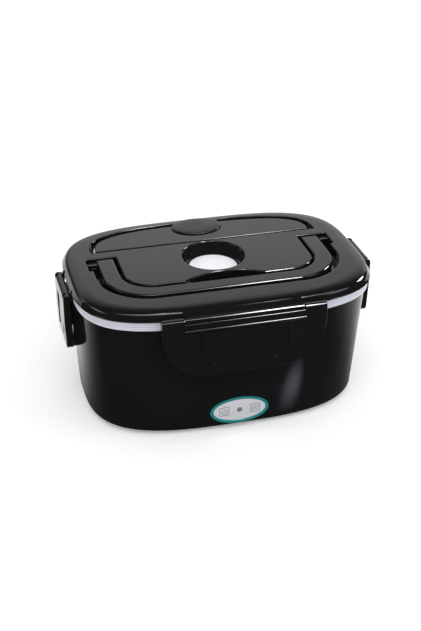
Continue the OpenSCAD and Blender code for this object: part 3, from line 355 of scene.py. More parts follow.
def piece(name, mesh, finish, body, slot, *nodes):
    """Puts a mesh drawn in millimetres into the frame, on a body and in a node's stead."""
    mesh.transform(Matrix.Scale(0.001, 4))
    mesh.name = name
    mesh.materials.clear()
    mesh.materials.append(finish)
    mesh.shade_smooth()
    mesh.set_sharp_from_angle(angle=radians(35))
    made = bpy.data.objects.new(name, mesh)
    bpy.context.scene.collection.objects.link(made)
    flats = made.modifiers.new("flats", "WEIGHTED_NORMAL")
    flats.keep_sharp = True
    flats.weight = 90
    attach(made, body)
    if nodes:
        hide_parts(*nodes)


def material(name):
    """A new material: its tree, its shader, and places on the part in millimetres."""
    made = bpy.data.materials.new(name)
    made.use_nodes = True
    tree = made.node_tree
    tree.nodes.clear()
    shader = add(tree, "BsdfPrincipled")
    add(tree, "OutputMaterial", None, Surface=shader.outputs[0])
    where = add(tree, "TexCoord")
    places = add(tree, "VectorMath", {"operation": "SCALE", "Scale": 1000.0},
                 _0=where.outputs["Object"])
    return made, tree, shader, places.outputs[0]


def moulded(name, colour, shade, rough, ior, ripple_mm, ripple, grain_mm=0.4, grain=0.0,
            cloud_mm=35):
    """Moulded plastic or rubber: clouds of two shades, a gloss smeared by 9 mm wide patches,
    ripple and grain. Each pattern has its width, then its depth, in millimetres."""
    made, tree, shader, places = material(name)
    cloud = add(tree, "TexNoise", {"Scale": 1 / cloud_mm, "Detail": 3.0}, Vector=places)
    tint = add(tree, "MixRGB", {"Color1": linear(colour), "Color2": linear(shade)},
               _0=cloud.outputs["Fac"])
    tree.links.new(tint.outputs[0], shader.inputs["Base Color"])
    smear = add(tree, "TexNoise", {"Scale": 1 / 9, "Detail": 5.0, "Roughness": 0.6},
                Vector=places)
    gloss = add(tree, "MapRange", {"From Min": 0.3, "From Max": 0.7,
                                   "To Min": max(rough - 0.05, 0.02), "To Max": rough + 0.05},
                Value=smear.outputs["Fac"])
    tree.links.new(gloss.outputs[0], shader.inputs["Roughness"])
    shader.inputs["IOR"].default_value = ior
    wave = add(tree, "TexNoise", {"Scale": 1 / ripple_mm, "Detail": 1.0}, Vector=places)
    skin = add(tree, "Bump", {"Strength": 1.0, "Distance": ripple * 0.001},
               Height=wave.outputs["Fac"])
    if grain:
        fine = add(tree, "TexNoise", {"Scale": 1 / grain_mm, "Detail": 2.0}, Vector=places)
        skin = add(tree, "Bump", {"Strength": 1.0, "Distance": grain * 0.001},
                   Height=fine.outputs["Fac"], Normal=skin.outputs[0])
    tree.links.new(skin.outputs[0], shader.inputs["Normal"])
    return made


# ABS from a polished tool: black to the eye, and almost a mirror at a low angle.
# The ripple is the orange peel of the moulding, waves about 7 mm long.
black_abs = moulded("black_abs_polished", "#151516", "#19191a", 0.1, 1.46, 7, 0.0025)


def keeper(half, wall_rim, lean, low):
    """Ledge between two ribs, under a latch's hook, drawn at the front."""
    thick = 2.5
    reach = wall_rim - lean * (z_rim - keeper_top) + 3.1  # stands out this far from the wall
    inner = wall_rim - lean * (z_rim - low) - 1.2  # and starts well inside it
    made = [block(-half, -reach, keeper_top - thick, half, -inner, keeper_top)]
    for x0, x1 in both(half - thick, half):
        made.append(block(x0, -reach, low, x1, -inner, z_rim - 1))
    return made


inlet_z = z_inside + 8  # middle of the mains inlet
inlet_a = 12.6  # half width and half height of its opening
inlet_b = 6.2
inlet_face = shell_b - lean_b * (z_rim - inlet_z) + 0.8
panel_z = 16.6  # middle of the lamp panel
panel_face = shell_b - lean_b * (z_rim - panel_z) + 0.5
panel_a = 22  # half length of the lamp panel
panel_b = 11  # half height of it
screw_places = [(x, y) for x in (-70, 70) for y in (-47, 47)]

halfway = z_base + 45.2
outer = foot_round(z_base, 7, 0) + [shell_at(halfway, 0), shell_at(z_rim, 0)]
inner = [shell_at(z_rim, shell_wall), shell_at(halfway, shell_wall)]
inner += list(reversed(foot_round(z_inside, 5.8, shell_wall)))
ledges = keeper(23.5, shell_b, lean_b, rib_low_front)
ledges += [turned(mesh, 180) for mesh in keeper(26.8, shell_b, lean_b, rib_low)]
ledges += at_ends(lambda: keeper(16.6, shell_a, lean_a, rib_low))
# The frame round the mains inlet, and the seat of the lamp panel
ledges.append(block(-16.4, inlet_face - 5.5, z_inside - 0.6, 16.4, inlet_face, z_inside + 16.6))
ledges.append(prism(oval(panel_a + 0.6, panel_b + 0.6, 0, panel_z, 96), 1.6 - panel_face,
                    4 - panel_face, "Y"))
holes = [block(-inlet_a, inlet_face - 12, inlet_z - inlet_b, inlet_a, inlet_face + 2,
               inlet_z + inlet_b),
         prism(oval(panel_a + 0.15, panel_b + 0.15, 0, panel_z, 96), -3 - panel_face,
               1.6 - panel_face, "Y"),
         prism(circle(2.15, 0, panel_z), -2 - panel_face, 12 - panel_face, "Y")]
# A bore for each base screw, and a sink for its head
for x, y in screw_places:
    holes.append(prism(circle(1.7, x, y, 24), 0, 6.5))
    holes.append(prism(circle(3.1, x, y, 32), 0, z_base + 2.2))
shell = carve(hull(outer + inner), ledges, holes)
piece("outer_shell_moulding", soften(shell), black_abs, "case", "black_plastic", "outer_shell")


# Inner casing
# The white liner that drops into the shell. Its rim shows as a pale band with one fine groove;
# inside it has a shelf for the tray and a floor with the opening for the heating plate.
z_band = z_rim + 7  # top of the band
z_shelf = z_band - 16
z_floor = z_base + 22
band_a = 109  # half length of the band
band_b = 74.8  # half depth of it
rim_n = squareness_at(z_rim)
casing_wall = 2
casing_inset = shell_wall + 0.5  # from the shell's face to the casing's
set_in = 4.6  # the wall stands this much further in below the shelf
opening_a = 78  # half sizes of the opening for the plate
opening_b = 47
# Polypropylene, moulded: a cold milky white with a soft sheen from a fine-grained tool.
white_pp = moulded("white_polypropylene", "#d9dae6", "#d2d3e0", 0.34, 1.49, 9, 0.004, 0.5, 0.002)


def band_ring(z, inset):
    return (z, band_a - inset, band_b - inset, rim_n)


# The casing's inside where the wall meets the floor
low_in = shell_at(z_floor + 6, casing_inset + set_in + casing_wall + 1)
low_a, low_b = low_in[1:3]
casing = hull([
    # Underside of the floor, and the outside of the wall
    (z_floor - 2, opening_a, opening_b, 3),
    (z_floor - 2, low_a - 4, low_b - 4, 3),
    (z_floor, low_a - 0.6, low_b - 0.6, 3),
    shell_at(z_floor + 6, casing_inset + set_in + 1),
    shell_at(z_shelf - 2, casing_inset + set_in),
    shell_at(z_shelf - 1.6, casing_inset),
    shell_at(z_rim, casing_inset),
    # The band and its groove
    band_ring(z_rim + 0.25, 0.3), band_ring(z_rim + 0.55, 0),
    band_ring(z_rim + 2.85, 0), band_ring(z_rim + 3.05, 0.12), band_ring(z_rim + 3.2, 0.45),
    band_ring(z_rim + 3.5, 0.45), band_ring(z_rim + 3.65, 0.12), band_ring(z_rim + 3.85, 0),
    band_ring(z_band - 0.8, 0), band_ring(z_band - 0.25, 0.2), band_ring(z_band, 0.7),
    # Down the inside: the shelf, the lower wall and the floor
    (z_band,) + shell_at(z_rim, casing_inset + 2.5)[1:3] + (rim_n,),
    (z_band - 0.5,) + shell_at(z_rim, casing_inset + 2)[1:3] + (rim_n,),
    shell_at(z_shelf, casing_inset + 2),
    shell_at(z_shelf, casing_inset + 6.2),
    shell_at(z_shelf - 0.4, casing_inset + 6.6),
    low_in,
    (z_floor + 1.8, low_a - 1.6, low_b - 1.6, 3),
    (z_floor, low_a - 5, low_b - 5, 3),
    (z_floor, opening_a, opening_b, 3)], True)
posts = [prism(circle(4, x, y), z_inside + 2, z_floor - 0.7) for x, y in screw_places]
bores = [prism(circle(1.52, x, y, 24), 0, z_floor - 3) for x, y in screw_places]
piece("inner_casing_moulding", soften(carve(casing, posts, bores)), white_pp, "case",
      "white_plastic", "inner_casing")


# Heating, wiring and fixing parts
# A cast aluminium plate on a silicone ring, with its flat heater, strap, thermostat, fuse and
# wires below, the mains inlet, and the screws and pins that hold it all. They are the solids of
# the CAD model with their real finishes.
def metal(name, colour, shade, rough, grain_mm, grain, brushed=0, metallic=1.0):
    """Bare metal: 22 mm clouds of two shades, and a grain of a width and a depth in millimetres
    that also makes the roughness uneven and is drawn out along X where the metal is brushed."""
    made, tree, shader, places = material(name)
    shader.inputs["Metallic"].default_value = metallic
    stretch = add(tree, "Mapping", {"Scale": (1 / (1 + brushed), 1, 1)}, Vector=places)
    streak = add(tree, "TexNoise", {"Scale": 1 / grain_mm, "Detail": 6.0, "Roughness": 0.6},
                 Vector=stretch.outputs[0])
    cloud = add(tree, "TexNoise", {"Scale": 1 / 22, "Detail": 2.0}, Vector=places)
    tint = add(tree, "MixRGB", {"Color1": linear(colour), "Color2": linear(shade)},
               _0=cloud.outputs["Fac"])
    tree.links.new(tint.outputs[0], shader.inputs["Base Color"])
    gloss = add(tree, "MapRange", {"From Min": 0.3, "From Max": 0.7, "To Min": rough * 0.75,
                                   "To Max": rough * 1.3}, Value=streak.outputs["Fac"])
    tree.links.new(gloss.outputs[0], shader.inputs["Roughness"])
    skin = add(tree, "Bump", {"Strength": 1.0, "Distance": grain * 0.001},
               Height=streak.outputs["Fac"])
    tree.links.new(skin.outputs[0], shader.inputs["Normal"])
    return made


# The grains are drawn coarser than the real ones, which are too fine to show.
finishes = {
    # Die-cast aluminium: pale grey, a little sparkle from the shot-blasted skin
    "heating_plate": metal("cast_aluminium_blasted", "#b4b7ba", "#a4a7aa", 0.42, 0.6, 0.02),
    # Grey silicone, cut from sheet: matt and slightly cloudy
    "plate_seal": moulded("grey_silicone_sheet", "#8b8e93", "#7d8085", 0.55, 1.41, 5, 0.01),
    # Zinc-plated steel strip: bluish, with the spangle of the bath
    "retainer_bars": metal("zinc_plated_strip", "#b9bec6", "#9ea4ae", 0.3, 2.5, 0.01),
    # Zinc-plated steel screws: the same bluish grey, with a finer grain
    "plate_screws": metal("zinc_plated_screw", "#b4b9c0", "#8f959e", 0.28, 0.8, 0.01),
    # Aluminium case round the ceramic heater, with the dull grey of anodising
    "ptc_heater": metal("anodised_aluminium_case", "#c3c1ba", "#aba9a2", 0.38, 0.7, 0.01, 8),
    # Rolled stainless strap: bright, with lines along the strip
    "heater_clamp": metal("stainless_strap", "#bfc1c4", "#a8abaf", 0.27, 0.5, 0.008, 12),
    # Phenolic body: brown, hard and slightly speckled
    "thermostat": moulded("brown_phenolic", "#4d3018", "#5f3f22", 0.45, 1.55, 3, 0.01, 0.6, 0.01),
    # Glazed ceramic tube of the fuse: cream and shiny
    "thermal_fuse": moulded("glazed_ceramic", "#e0dbce", "#d3cdbd", 0.2, 1.5, 4, 0.01),
    # Spring steel strip, tumbled after bending: a flat mid grey
    "fuse_clip": metal("spring_steel_clip", "#a9adb2", "#8d9197", 0.3, 0.6, 0.01),
    # Glass-fibre felt: off-white and fully matt
    "insulation_pad": moulded("glass_fibre_felt", "#d6cfba", "#c3bba4", 0.95, 1.45, 2, 0.08,
                              0.6, 0.08),
    # Moulded nylon: black with a spark-eroded, satin face
    "inlet_socket": moulded("black_nylon_inlet", "#161617", "#1d1d1f", 0.4, 1.53, 4, 0.006,
                            0.5, 0.008),
    # Brass pins, nickel-plated thinly enough to stay yellowish
    "inlet_pins": metal("nickelled_brass_pin", "#c9b274", "#b79f60", 0.22, 0.6, 0.004),
    # Glass-epoxy board: green mask over a faint weave
    "lamp_board": moulded("green_solder_mask", "#1f5a36", "#276a40", 0.3, 1.5, 1.2, 0.01),
    # Wire jackets: soft PVC with a waxy sheen, and glass yarn where the wire gets hot
    "live_wire": moulded("brown_pvc_jacket", "#5b3216", "#6a3c1c", 0.42, 1.52, 3, 0.01),
    "link_wires": moulded("sleeved_glass_yarn", "#bdb49c", "#a99f86", 0.75, 1.5, 1, 0.04),
    "neutral_wire": moulded("blue_pvc_jacket", "#27528a", "#2f5e9a", 0.42, 1.52, 3, 0.01),
    "lamp_wires": moulded("white_pvc_jacket", "#dcdcdc", "#cfcfcf", 0.42, 1.52, 3, 0.01),
    # Zinc-plated steel again, for the screws that hold the base
    "base_screws": metal("zinc_plated_base_screw", "#b4b9c0", "#8f959e", 0.28, 0.8, 0.01),
    # Drawn steel rod: bright, with fine lines along it
    "latch_pins": metal("bright_steel_rod", "#c1c3c6", "#abaeb2", 0.18, 0.5, 0.004, 10),
}
for node, finish in finishes.items():
    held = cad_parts[node]
    held.data.materials.clear()
    held.data.materials.append(finish)


# Rubber feet
# Four moulded rubber buttons under the base, each with a rounded edge and a shallow cup that
# grips the table.
def spun(profile, x=0, y=0, count=96):
    """A solid turned about a vertical line, from [radius, height] pairs."""
    return loft([[(u, v, z) for u, v in circle(r, x, y, count)] for r, z in profile])


# Moulded rubber: near black, matt, with the fine texture of the tool.
foot_rubber = moulded("moulded_rubber", "#1d1d1e", "#252526", 0.8, 1.52, 3, 0.02, 0.5, 0.02)
for number, (x, y) in enumerate([(x, y) for x in (-56, 56) for y in (-48, 48)]):
    foot = spun([(3.9, 0.25), (4.2, 0.05), (4.5, 0), (6.2, 0), (6.6, 0.1), (6.9, 0.4), (7, 0.7),
                 (7, z_base)], x, y)
    piece("foot_%d" % (number + 1), foot, foot_rubber, "case", "foot_rubber", "rubber_feet")


# Lamp panel
# An oval badge let into the shell: a teal rim, a pale satin face, one small lamp between two
# plain pictograms. The pictograms are generic: a standby sign, and three strokes for warmth.
rim_broad = 2.3  # how broad the teal rim is
sign_x = 11.6  # middle of a pictogram
sign_half = 3.4
# ABS moulded in teal: an even blue green with a soft shine.
teal_abs = moulded("teal_abs", "#128a86", "#0f7f7d", 0.3, 1.54, 5, 0.004)
# Satin polycarbonate sheet, printed: light grey, even, a soft gloss.
panel_sheet = moulded("satin_polycarbonate", "#d7d8dc", "#cfd0d5", 0.3, 1.58, 6, 0.003)
# Screen-print ink: mid grey and flatter than the sheet.
print_ink = moulded("screen_print_ink", "#8d9096", "#84878d", 0.5, 1.5, 2, 0.002)
# Smoked polycarbonate lens, unlit: a smooth dark grey bead.
lens_pc = moulded("smoked_lens", "#85898f", "#74787e", 0.12, 1.58, 3, 0.002)


def oval_rings(profile):
    """Rings of the oval badge: [millimetres off its half sizes, distance behind its front]."""
    return [[(x, back - panel_face, panel_z + z)
             for x, z in oval(panel_a - less, panel_b - less)] for less, back in profile]


piece("lamp_panel_rim", loft(oval_rings([
    (0, 1.6), (0, 0.45), (0.12, 0.15), (0.4, 0), (1.5, 0), (1.95, 0.1), (rim_broad, 0.5),
    (rim_broad, 1.6)]), True), teal_abs, "case", "panel_rim", "lamp_rim")
plate_less = rim_broad + 0.04
plate = carve(loft(oval_rings([(plate_less, 1.6), (plate_less, 0.5), (2.6, 0.3), (3.2, 0.24),
                               (6, 0.2)])),
              removed=[prism(circle(2.1, 0, panel_z, 48), -1 - panel_face, 3 - panel_face, "Y")])
piece("lamp_panel_face", plate, panel_sheet, "case", "panel_face", "lamp_face")
stem = loft([[(x, back - panel_face, panel_z + z) for x, z in circle(r, 0, 0, 48)]
             for r, back in ((2.8, 3.6), (2.8, 2.9), (2.0, 2.9), (2.0, 0.5), (1.8, 0.25),
                             (1.3, 0.08), (0.6, 0.0))])
piece("indicator_lens", stem, lens_pc, "case", "lamp_lens", "indicator_lamp")


def stroke(path, width):
    """A thin printed line along points in the panel's plane, as one flat raised strip."""
    left, right = [], []
    for i, (x, z) in enumerate(path):
        x0, z0 = path[max(i - 1, 0)]
        x1, z1 = path[min(i + 1, len(path) - 1)]
        length = hypot(x1 - x0, z1 - z0)
        off = ((z0 - z1) / length * width / 2, (x1 - x0) / length * width / 2)
        left.append((x + off[0], z + off[1]))
        right.append((x - off[0], z - off[1]))
    return prism([(x, panel_z + z) for x, z in left + right[::-1]], 0.06 - panel_face,
                 0.28 - panel_face, "Y")


signs = []
for x in (-sign_x, sign_x):
    corners = rectangle(x - sign_half, -sign_half, x + sign_half, sign_half)
    signs += [stroke([corners[i], corners[(i + 1) % 4]], 0.42) for i in range(4)]
standby = [(-sign_x + 1.9 * sin(radians(a)), -0.2 + 1.9 * cos(radians(a)))
           for a in range(38, 323, 15)]
signs += [stroke(standby, 0.5), stroke([(-sign_x, 2.4), (-sign_x, 0.2)], 0.5)]
for x in (sign_x - 1.7, sign_x, sign_x + 1.7):
    heights = [-2 + 0.25 * k for k in range(17)]
    signs.append(stroke([(x + 0.45 * sin(z * 1.5), z) for z in heights], 0.45))
for number, sign in enumerate(signs):
    piece("pictogram_line_%02d" % number, sign, print_ink, "case", "panel_face")


# Food tray
# A pressed stainless tray whose rim hangs on the casing's shelf, with a welded divider. The
# inside keeps the fine lines of the polishing belt.
seat = 0.25  # air under every part that sits loose
seal_high = 0.8
heater_thick = 1.5  # the heating plate
tray_floor = z_floor + seal_high + heater_thick + seat
tray_rim = z_shelf + seat
tray_wall = 0.6
tray_inset = casing_inset + 2
tray_corner = 8
# Stainless 304, belt-polished: a cool grey. The belt lines scatter part of the light, so the
# steel never goes fully black; they are drawn 0.45 mm apart, several times the real grit.
steel_304 = metal("stainless_304_brushed", "#cdcfd1", "#bfc2c5", 0.3, 0.45, 0.003, 14, 0.78)


def tray_at(z, more):
    """Outline of the tray's wall, which follows the shell's face well inside it."""
    return shell_at(z, tray_inset + 5.8 + more)


# The turned-down rim that lies on the shelf
rim_edge = shell_at(z_shelf, tray_inset + 1)[1:]
rim_corner = shell_at(z_shelf, tray_inset + 1.25)[1:]
tray = hull(foot_round(tray_floor, tray_corner, 1, tray_at)
            + [tray_at(tray_rim, 0), (tray_rim,) + rim_corner, (tray_rim + 0.3,) + rim_edge,
               (tray_rim + tray_wall,) + rim_corner,
               tray_at(tray_rim + tray_wall, -0.9), tray_at(tray_rim + tray_wall - 0.25, 0.1),
               tray_at(tray_rim - 1, tray_wall)]
            + list(reversed(foot_round(tray_floor + tray_wall, tray_corner, 1 + tray_wall,
                                       tray_at))))
divider_x = 34
divider_low = tray_floor + 0.3
divider = carve(block(divider_x - 1, -74, divider_low, divider_x + 1, 74, divider_low + 38),
                kept=[hull(foot_round(divider_low, tray_corner, 1.3, tray_at)
                           + [tray_at(tray_rim - 1, 0.3)])])
tray = carve(tray, [soften(divider, 0.5)])
piece("steel_food_tray", soften(tray), steel_304, "tray", "stainless", "food_tray")


# Side dish
# A small loose tub in the tray's right bay, blow-moulded in the same milky polypropylene, with
# a turned rim to lift it by.
def arc(x, y, r, start, end, steps=14):
    turns = [radians(start + (end - start) * i / steps) for i in range(steps + 1)]
    return [(x + r * cos(t), y + r * sin(t)) for t in turns]


def box_outline(x0, y0, x1, y1, r, steps=12):
    corners = ((x1 - r, y1 - r, 0), (x0 + r, y1 - r, 90), (x0 + r, y0 + r, 180),
               (x1 - r, y0 + r, 270))
    return [p for x, y, start in corners for p in arc(x, y, r, start, start + 90, steps)]


def levels(outline, steps):
    """A solid whose outline is taken in by an inset at each height: [height, inset] pairs."""
    return loft([[(x, y, z) for x, y in outline(inset)] for z, inset in steps])


def dish_outline(inset):
    """Seen from above, the dish fills the bay between the divider and the tray's right wall."""
    return box_outline(divider_x + 3 + inset, -41.1 + inset, 77.3 - inset, 41.1 - inset,
                       max(10 - inset, 1.5))


dish_floor = tray_floor + tray_wall + seat
dish_top = z_shelf - 9
dish = levels(dish_outline, [
    (dish_floor, 4.2), (dish_floor + 0.9, 2.1), (dish_floor + 3, 1), (dish_top - 1.6, 1),
    (dish_top - 1.5, 0.1), (dish_top - 1.2, 0), (dish_top - 0.4, 0), (dish_top, 0.35),
    (dish_top, 2), (dish_top - 0.6, 2.6), (dish_floor + 4, 2.6), (dish_floor + 2.4, 3.4),
    (dish_floor + 1.6, 5.5)])
piece("side_dish_tub", dish, white_pp, "dish", "white_plastic", "side_dish")


# Lid
# The black lid: a flat top with a folded shoulder, a deep trough for the handle round a middle
# plate, a round vent well, and the open compartment at the back. Same polished ABS as the shell.
z_skirt = z_band + seat  # lower edge
z_top = z_band + 7
lid_a = 110.2  # half length
lid_b = 76  # half depth
lid_n = 3.55  # squareness
lid_wall = 2.2
z_under = z_skirt + 2  # the walls of all hollows end in here
# The handle's trough, the middle plate, and the notches that hold the handle's pins
trough_half = 90.4
trough_front = -50.1
trough_back = 20.3
z_trough = z_top - 7.8
plate_half = 70.6
plate_front = -30.8
notch_x = 93.4
notch_front = 1.8
pivot_y = 15
pivot_z = z_top - 3.1
# The D-shaped compartment: its size, the ledge for its cover, and how far the floor is set in
pocket_a = 87.7
pocket_b = 35.9
pocket_front = 29.8
pocket_n = 2.8
z_ledge = z_top - 5.4
z_compartment = z_top - 13.4
deep_a = pocket_a - 8
deep_b = pocket_b - 8
deep_front = pocket_front + 2
# The vent well, and the axes that the latches turn on
well_y = 4.9
z_well = z_top - 10
front_axis = lid_b + 2.2
front_axis_z = z_top - 5.8
back_axis = lid_b + 3.5
end_axis = lid_a + 2.8
side_axis_z = z_top - 9.9
back_ear_x = 25.3  # the ears' distance from the middle of their latch
end_ear_x = 16.1
boss_half = 42.5
nose = 2.6  # radius of the boss round the front latch's pin


def front_rounded(half, front, back, corner, steps=24):
    """Two rounded front corners and a square back, as a function of the inset."""
    def outline(inset):
        r = max(corner - inset, 0.3)
        return ([(half - inset, back - inset), (-half + inset, back - inset)]
                + arc(-half + corner, front + corner, r, 180, 270, steps)
                + arc(half - corner, front + corner, r, 270, 360, steps))
    return outline


def half_moon(a, b, front, n=pocket_n):
    """A D: straight along the front, half a superellipse behind, as a function of the inset."""
    def outline(inset):
        turns = [pi * i / 96 for i in range(97)]
        return [((a - inset) * copysign(abs(cos(t)) ** (2 / n), cos(t)),
                 front + inset + (b - 2 * inset) * abs(sin(t)) ** (2 / n)) for t in turns]
    return outline


def quarter(z, r, way):
    """Heights and insets of a rounded edge: way 1 for the top of a solid, -1 for a lip."""
    turns = [pi / 2 * i / 5 for i in range(6)]
    return [(z - r + r * sin(t), way * (r - r * cos(t))) for t in turns]


def pocket(outline, low, lip, foot=0.0):
    """A cutter for a hollow that is open at the lid's top, whose edge there is rounded."""
    start = [(low, foot), (low + foot * 0.3, foot * 0.3), (low + foot, 0)] if foot else [(low, 0)]
    return levels(outline, start + quarter(z_top, lip, -1) + [(z_top + 2, -lip)])


def crescent(inset):
    """The finger notch in front of the middle plate: a shallow arc over a straight line."""
    r = 53.5 - inset
    middle = plate_front - 44.3
    half = asin(min(34 / r, 0.63))
    turns = [half - 2 * half * i / 60 for i in range(61)]
    return ([(r * sin(t), middle + r * cos(t)) for t in turns] + [(-33.5, -33), (33.5, -33)])


def ears(skirt, axis, x):
    """Two ears that hold a latch's pin, drawn at the front."""
    line = arc(axis, side_axis_z, 2.2, -90, 120) + [
        (skirt, z_skirt + 1.5), (skirt - 1.5, z_skirt + 1.5), (skirt - 1.5, z_skirt + 0.1),
        (skirt - 0.8, z_skirt - 0.1), (skirt - 0.8, side_axis_z - 2.2)]
    return [prism(line, x0, x1, "X") for x0, x1 in both(x - 1.2, x + 1.2)]


def pin_bore(axis, axis_z, half):
    return prism(circle(1.22, axis, axis_z, 24), -half, half, "X")


# The folded shoulder: [millimetres in from the edge, millimetres down from the top]
fold = [(11, 0), (9.5, 0.05), (8.0, 0.16), (6.5, 0.34), (5.2, 0.58), (4.5, 0.76), (3.9, 0.98),
        (3.35, 1.27), (2.85, 1.64), (2.4, 2.1), (2.0, 2.65), (1.65, 3.25), (1.3, 3.95),
        (0.95, 4.7), (0.5, 5.6), (0, 6.35)]
edge = [(z_skirt, lid_a - 0.4, lid_b - 0.4, lid_n)]
edge += [(z_top - drop, lid_a - less, lid_b - less, lid_n) for less, drop in reversed(fold)]
trough = carve(pocket(front_rounded(trough_half, trough_front, trough_back, 38), z_trough, 1.1,
                      1.0),
               removed=[levels(front_rounded(plate_half, plate_front, trough_back + 2, 20),
                               [(z_trough - 1, 0)] + quarter(z_top, 1.1, 1)
                               + [(z_top + 3, 1.1)])])
# The boss at the front runs down from the shoulder and round the front latch's pin
ridge = [(lid_b - 2.4, z_skirt + 1.7), (64, z_skirt + 2.4), (64, z_top - 0.1),
         (lid_b - 9, z_top - 0.2), (lid_b - 4.5, z_top - 1.05), (lid_b + 0.8, z_top - 2.85)]
ridge += arc(front_axis, front_axis_z, nose, 100, -90, 24)
ridge += [(band_b + 0.5, front_axis_z - nose), (band_b + 0.5, z_skirt),
          (lid_b - 1.8, z_skirt)]

joined = [prism(front_rounded(trough_half + lid_wall, trough_front - lid_wall,
                              trough_back + lid_wall, 38 + lid_wall)(0),
                z_trough - lid_wall, z_under)]
for x0, x1 in both(60, notch_x + 3.4):
    joined.append(block(x0, notch_front - lid_wall, z_trough - lid_wall, x1,
                        trough_back + lid_wall, z_under))
joined += [prism(half_moon(pocket_a + lid_wall, pocket_b + lid_wall, pocket_front - lid_wall)(0),
                 z_ledge - lid_wall, z_under),
           prism(half_moon(deep_a + lid_wall, deep_b + lid_wall, deep_front - lid_wall)(0),
                 z_compartment - lid_wall, z_ledge),
           spun([(21.4, z_well - lid_wall), (26, z_under)], 0, well_y),
           prism(ridge, -boss_half, boss_half, "X")]
joined += [turned(mesh, 180) for mesh in ears(lid_b, back_axis, back_ear_x)]
joined += at_ends(lambda: ears(lid_a, end_axis, end_ear_x))

removed = [trough]
for x0, x1 in both(trough_half - 2, notch_x):
    removed.append(pocket(lambda inset: box_outline(
        x0 + inset, notch_front + inset, x1 - inset, trough_back - inset,
        max(1.2 - inset, 0.3), 6), z_trough, 0.9))
removed += [pocket(crescent, z_trough, 1.0),
            pocket(half_moon(pocket_a, pocket_b, pocket_front), z_ledge, 0.9, 0.8),
            levels(half_moon(deep_a, deep_b, deep_front),
                   [(z_compartment, 1.5), (z_compartment + 0.5, 0.5), (z_compartment + 1.5, 0),
                    (z_top + 2, 0)]),
            spun([(19.2, z_well), (23.4, z_top - 0.8), (23.6, z_top - 0.35), (24.0, z_top - 0.08),
                  (24.5, z_top), (24.5, z_top + 1)], 0, well_y),
            prism(circle(7.3, 0, well_y), z_well - 6, z_well + 2)]
# Room for the front latch's knuckles, the bores of the handle's pins and those of the latches'
removed += [prism(circle(3.15, front_axis, front_axis_z, 48), x0, x1, "X")
            for x0, x1 in both(42.7, 59.4)]
removed += [prism(circle(1.85, -pivot_y, pivot_z, 32), x0, x1, "X")
            for x0, x1 in both(90, 95.6)]
removed += [pin_bore(front_axis, front_axis_z, 44),
            turned(pin_bore(back_axis, side_axis_z, 30), 180)]
removed += at_ends(lambda: [pin_bore(end_axis, side_axis_z, 19.8)])
lid = carve(hull(edge), joined, removed)
piece("lid_moulding", soften(lid), black_abs, "lid", "black_plastic", "lid_shell")


# Lid liner and seal
# A white plate under the lid that enters the casing, moulded in the casing's polypropylene and
# shaped round the compartment, with a silicone ring in its groove.
z_liner = z_band - 11.5  # underside
seal_z = z_band - 6  # lower edge of the groove
liner_a, liner_b = shell_at(z_rim, casing_inset + 2.7)[1:3]
flange_a = lid_a - 2.7
flange_b = lid_b - 2.7
pocket_gap = lid_wall + seat  # from the inside of the compartment to the liner


def liner_ring(z, inset):
    return (z, liner_a - inset, liner_b - inset, rim_n)


lining = hull([
    liner_ring(z_liner, 4.2), liner_ring(z_liner + 0.4, 2.6), liner_ring(z_liner + 1.2, 1.1),
    liner_ring(z_liner + 2.6, 0.1), liner_ring(seal_z - 0.3, 0), liner_ring(seal_z, 0.3),
    liner_ring(seal_z, 0.9), liner_ring(seal_z + 3, 0.9), liner_ring(seal_z + 3, 0.2),
    liner_ring(seal_z + 3.2, 0), liner_ring(z_skirt, 0), (z_skirt, flange_a, flange_b, rim_n),
    (z_skirt + 1.2, flange_a - 0.1, flange_b - 0.1, rim_n), liner_ring(z_skirt + 1.2, 1.8),
    liner_ring(z_liner + 3.3, 2.7), liner_ring(z_liner + 1.8, 4.8)])
lining = carve(lining, [prism(circle(9.4, 0, well_y), z_liner + 0.9, z_well - lid_wall - 0.1)],
               [prism(circle(7.3, 0, well_y), z_liner - 1, z_top),
                prism(half_moon(pocket_a + pocket_gap, pocket_b + pocket_gap, pocket_front)(0),
                      z_ledge - pocket_gap, z_top)])
piece("lid_liner_moulding", soften(lining), white_pp, "lid", "white_plastic", "lid_liner")
# Silicone, compression moulded: grey-white, soft, slightly see-through at its lip.
seal_silicone = moulded("clear_grey_silicone", "#b3b6bf", "#a8abb5", 0.45, 1.41, 4, 0.01)
piece("lid_seal_ring", hull([
    liner_ring(seal_z + 0.15, 0.8), liner_ring(seal_z + 0.1, 0), liner_ring(seal_z + 0.5, -0.25),
    liner_ring(seal_z + 1.3, -0.45), liner_ring(seal_z + 2.1, -0.25),
    liner_ring(seal_z + 2.9, 0), liner_ring(seal_z + 2.85, 0.8)], True), seal_silicone, "lid",
    "seal_silicone", "lid_seal")


# Handle
# A flat U-shaped carrying handle that folds flush into its trough, on two moulded pins.
# Polished ABS again, with an edge rounded just enough to be kind to the hand.
handle_half = 85.7
handle_low = z_top - 6
handle_top = z_top - 0.2
edge_round = 1.5  # upper edges
under_round = 1.2  # lower edges
under_edge = [(2 * handle_low + under_round - z, inset) for z, inset in
              reversed(quarter(handle_low + under_round, under_round, 1))]
grip = levels(front_rounded(handle_half, -45.4, 18.2, 34),
              under_edge + quarter(handle_top, edge_round, 1))
gap = levels(front_rounded(72.9, -33.1, 21, 23),
             [(handle_low - 2, -0.8), (handle_low, -0.8), (handle_low + 0.25, -0.35),
              (handle_low + 0.8, 0)] + quarter(handle_top, edge_round, -1)
             + [(handle_top + 2, -edge_round)])
pivots = [prism(circle(1.8, -pivot_y, pivot_z, 48), x0, x1, "X")
          for x0, x1 in both(81.7, 95.2)]
piece("carrying_handle", soften(carve(grip, pivots, [gap])), black_abs, "carry_handle",
      "black_plastic", "handle")


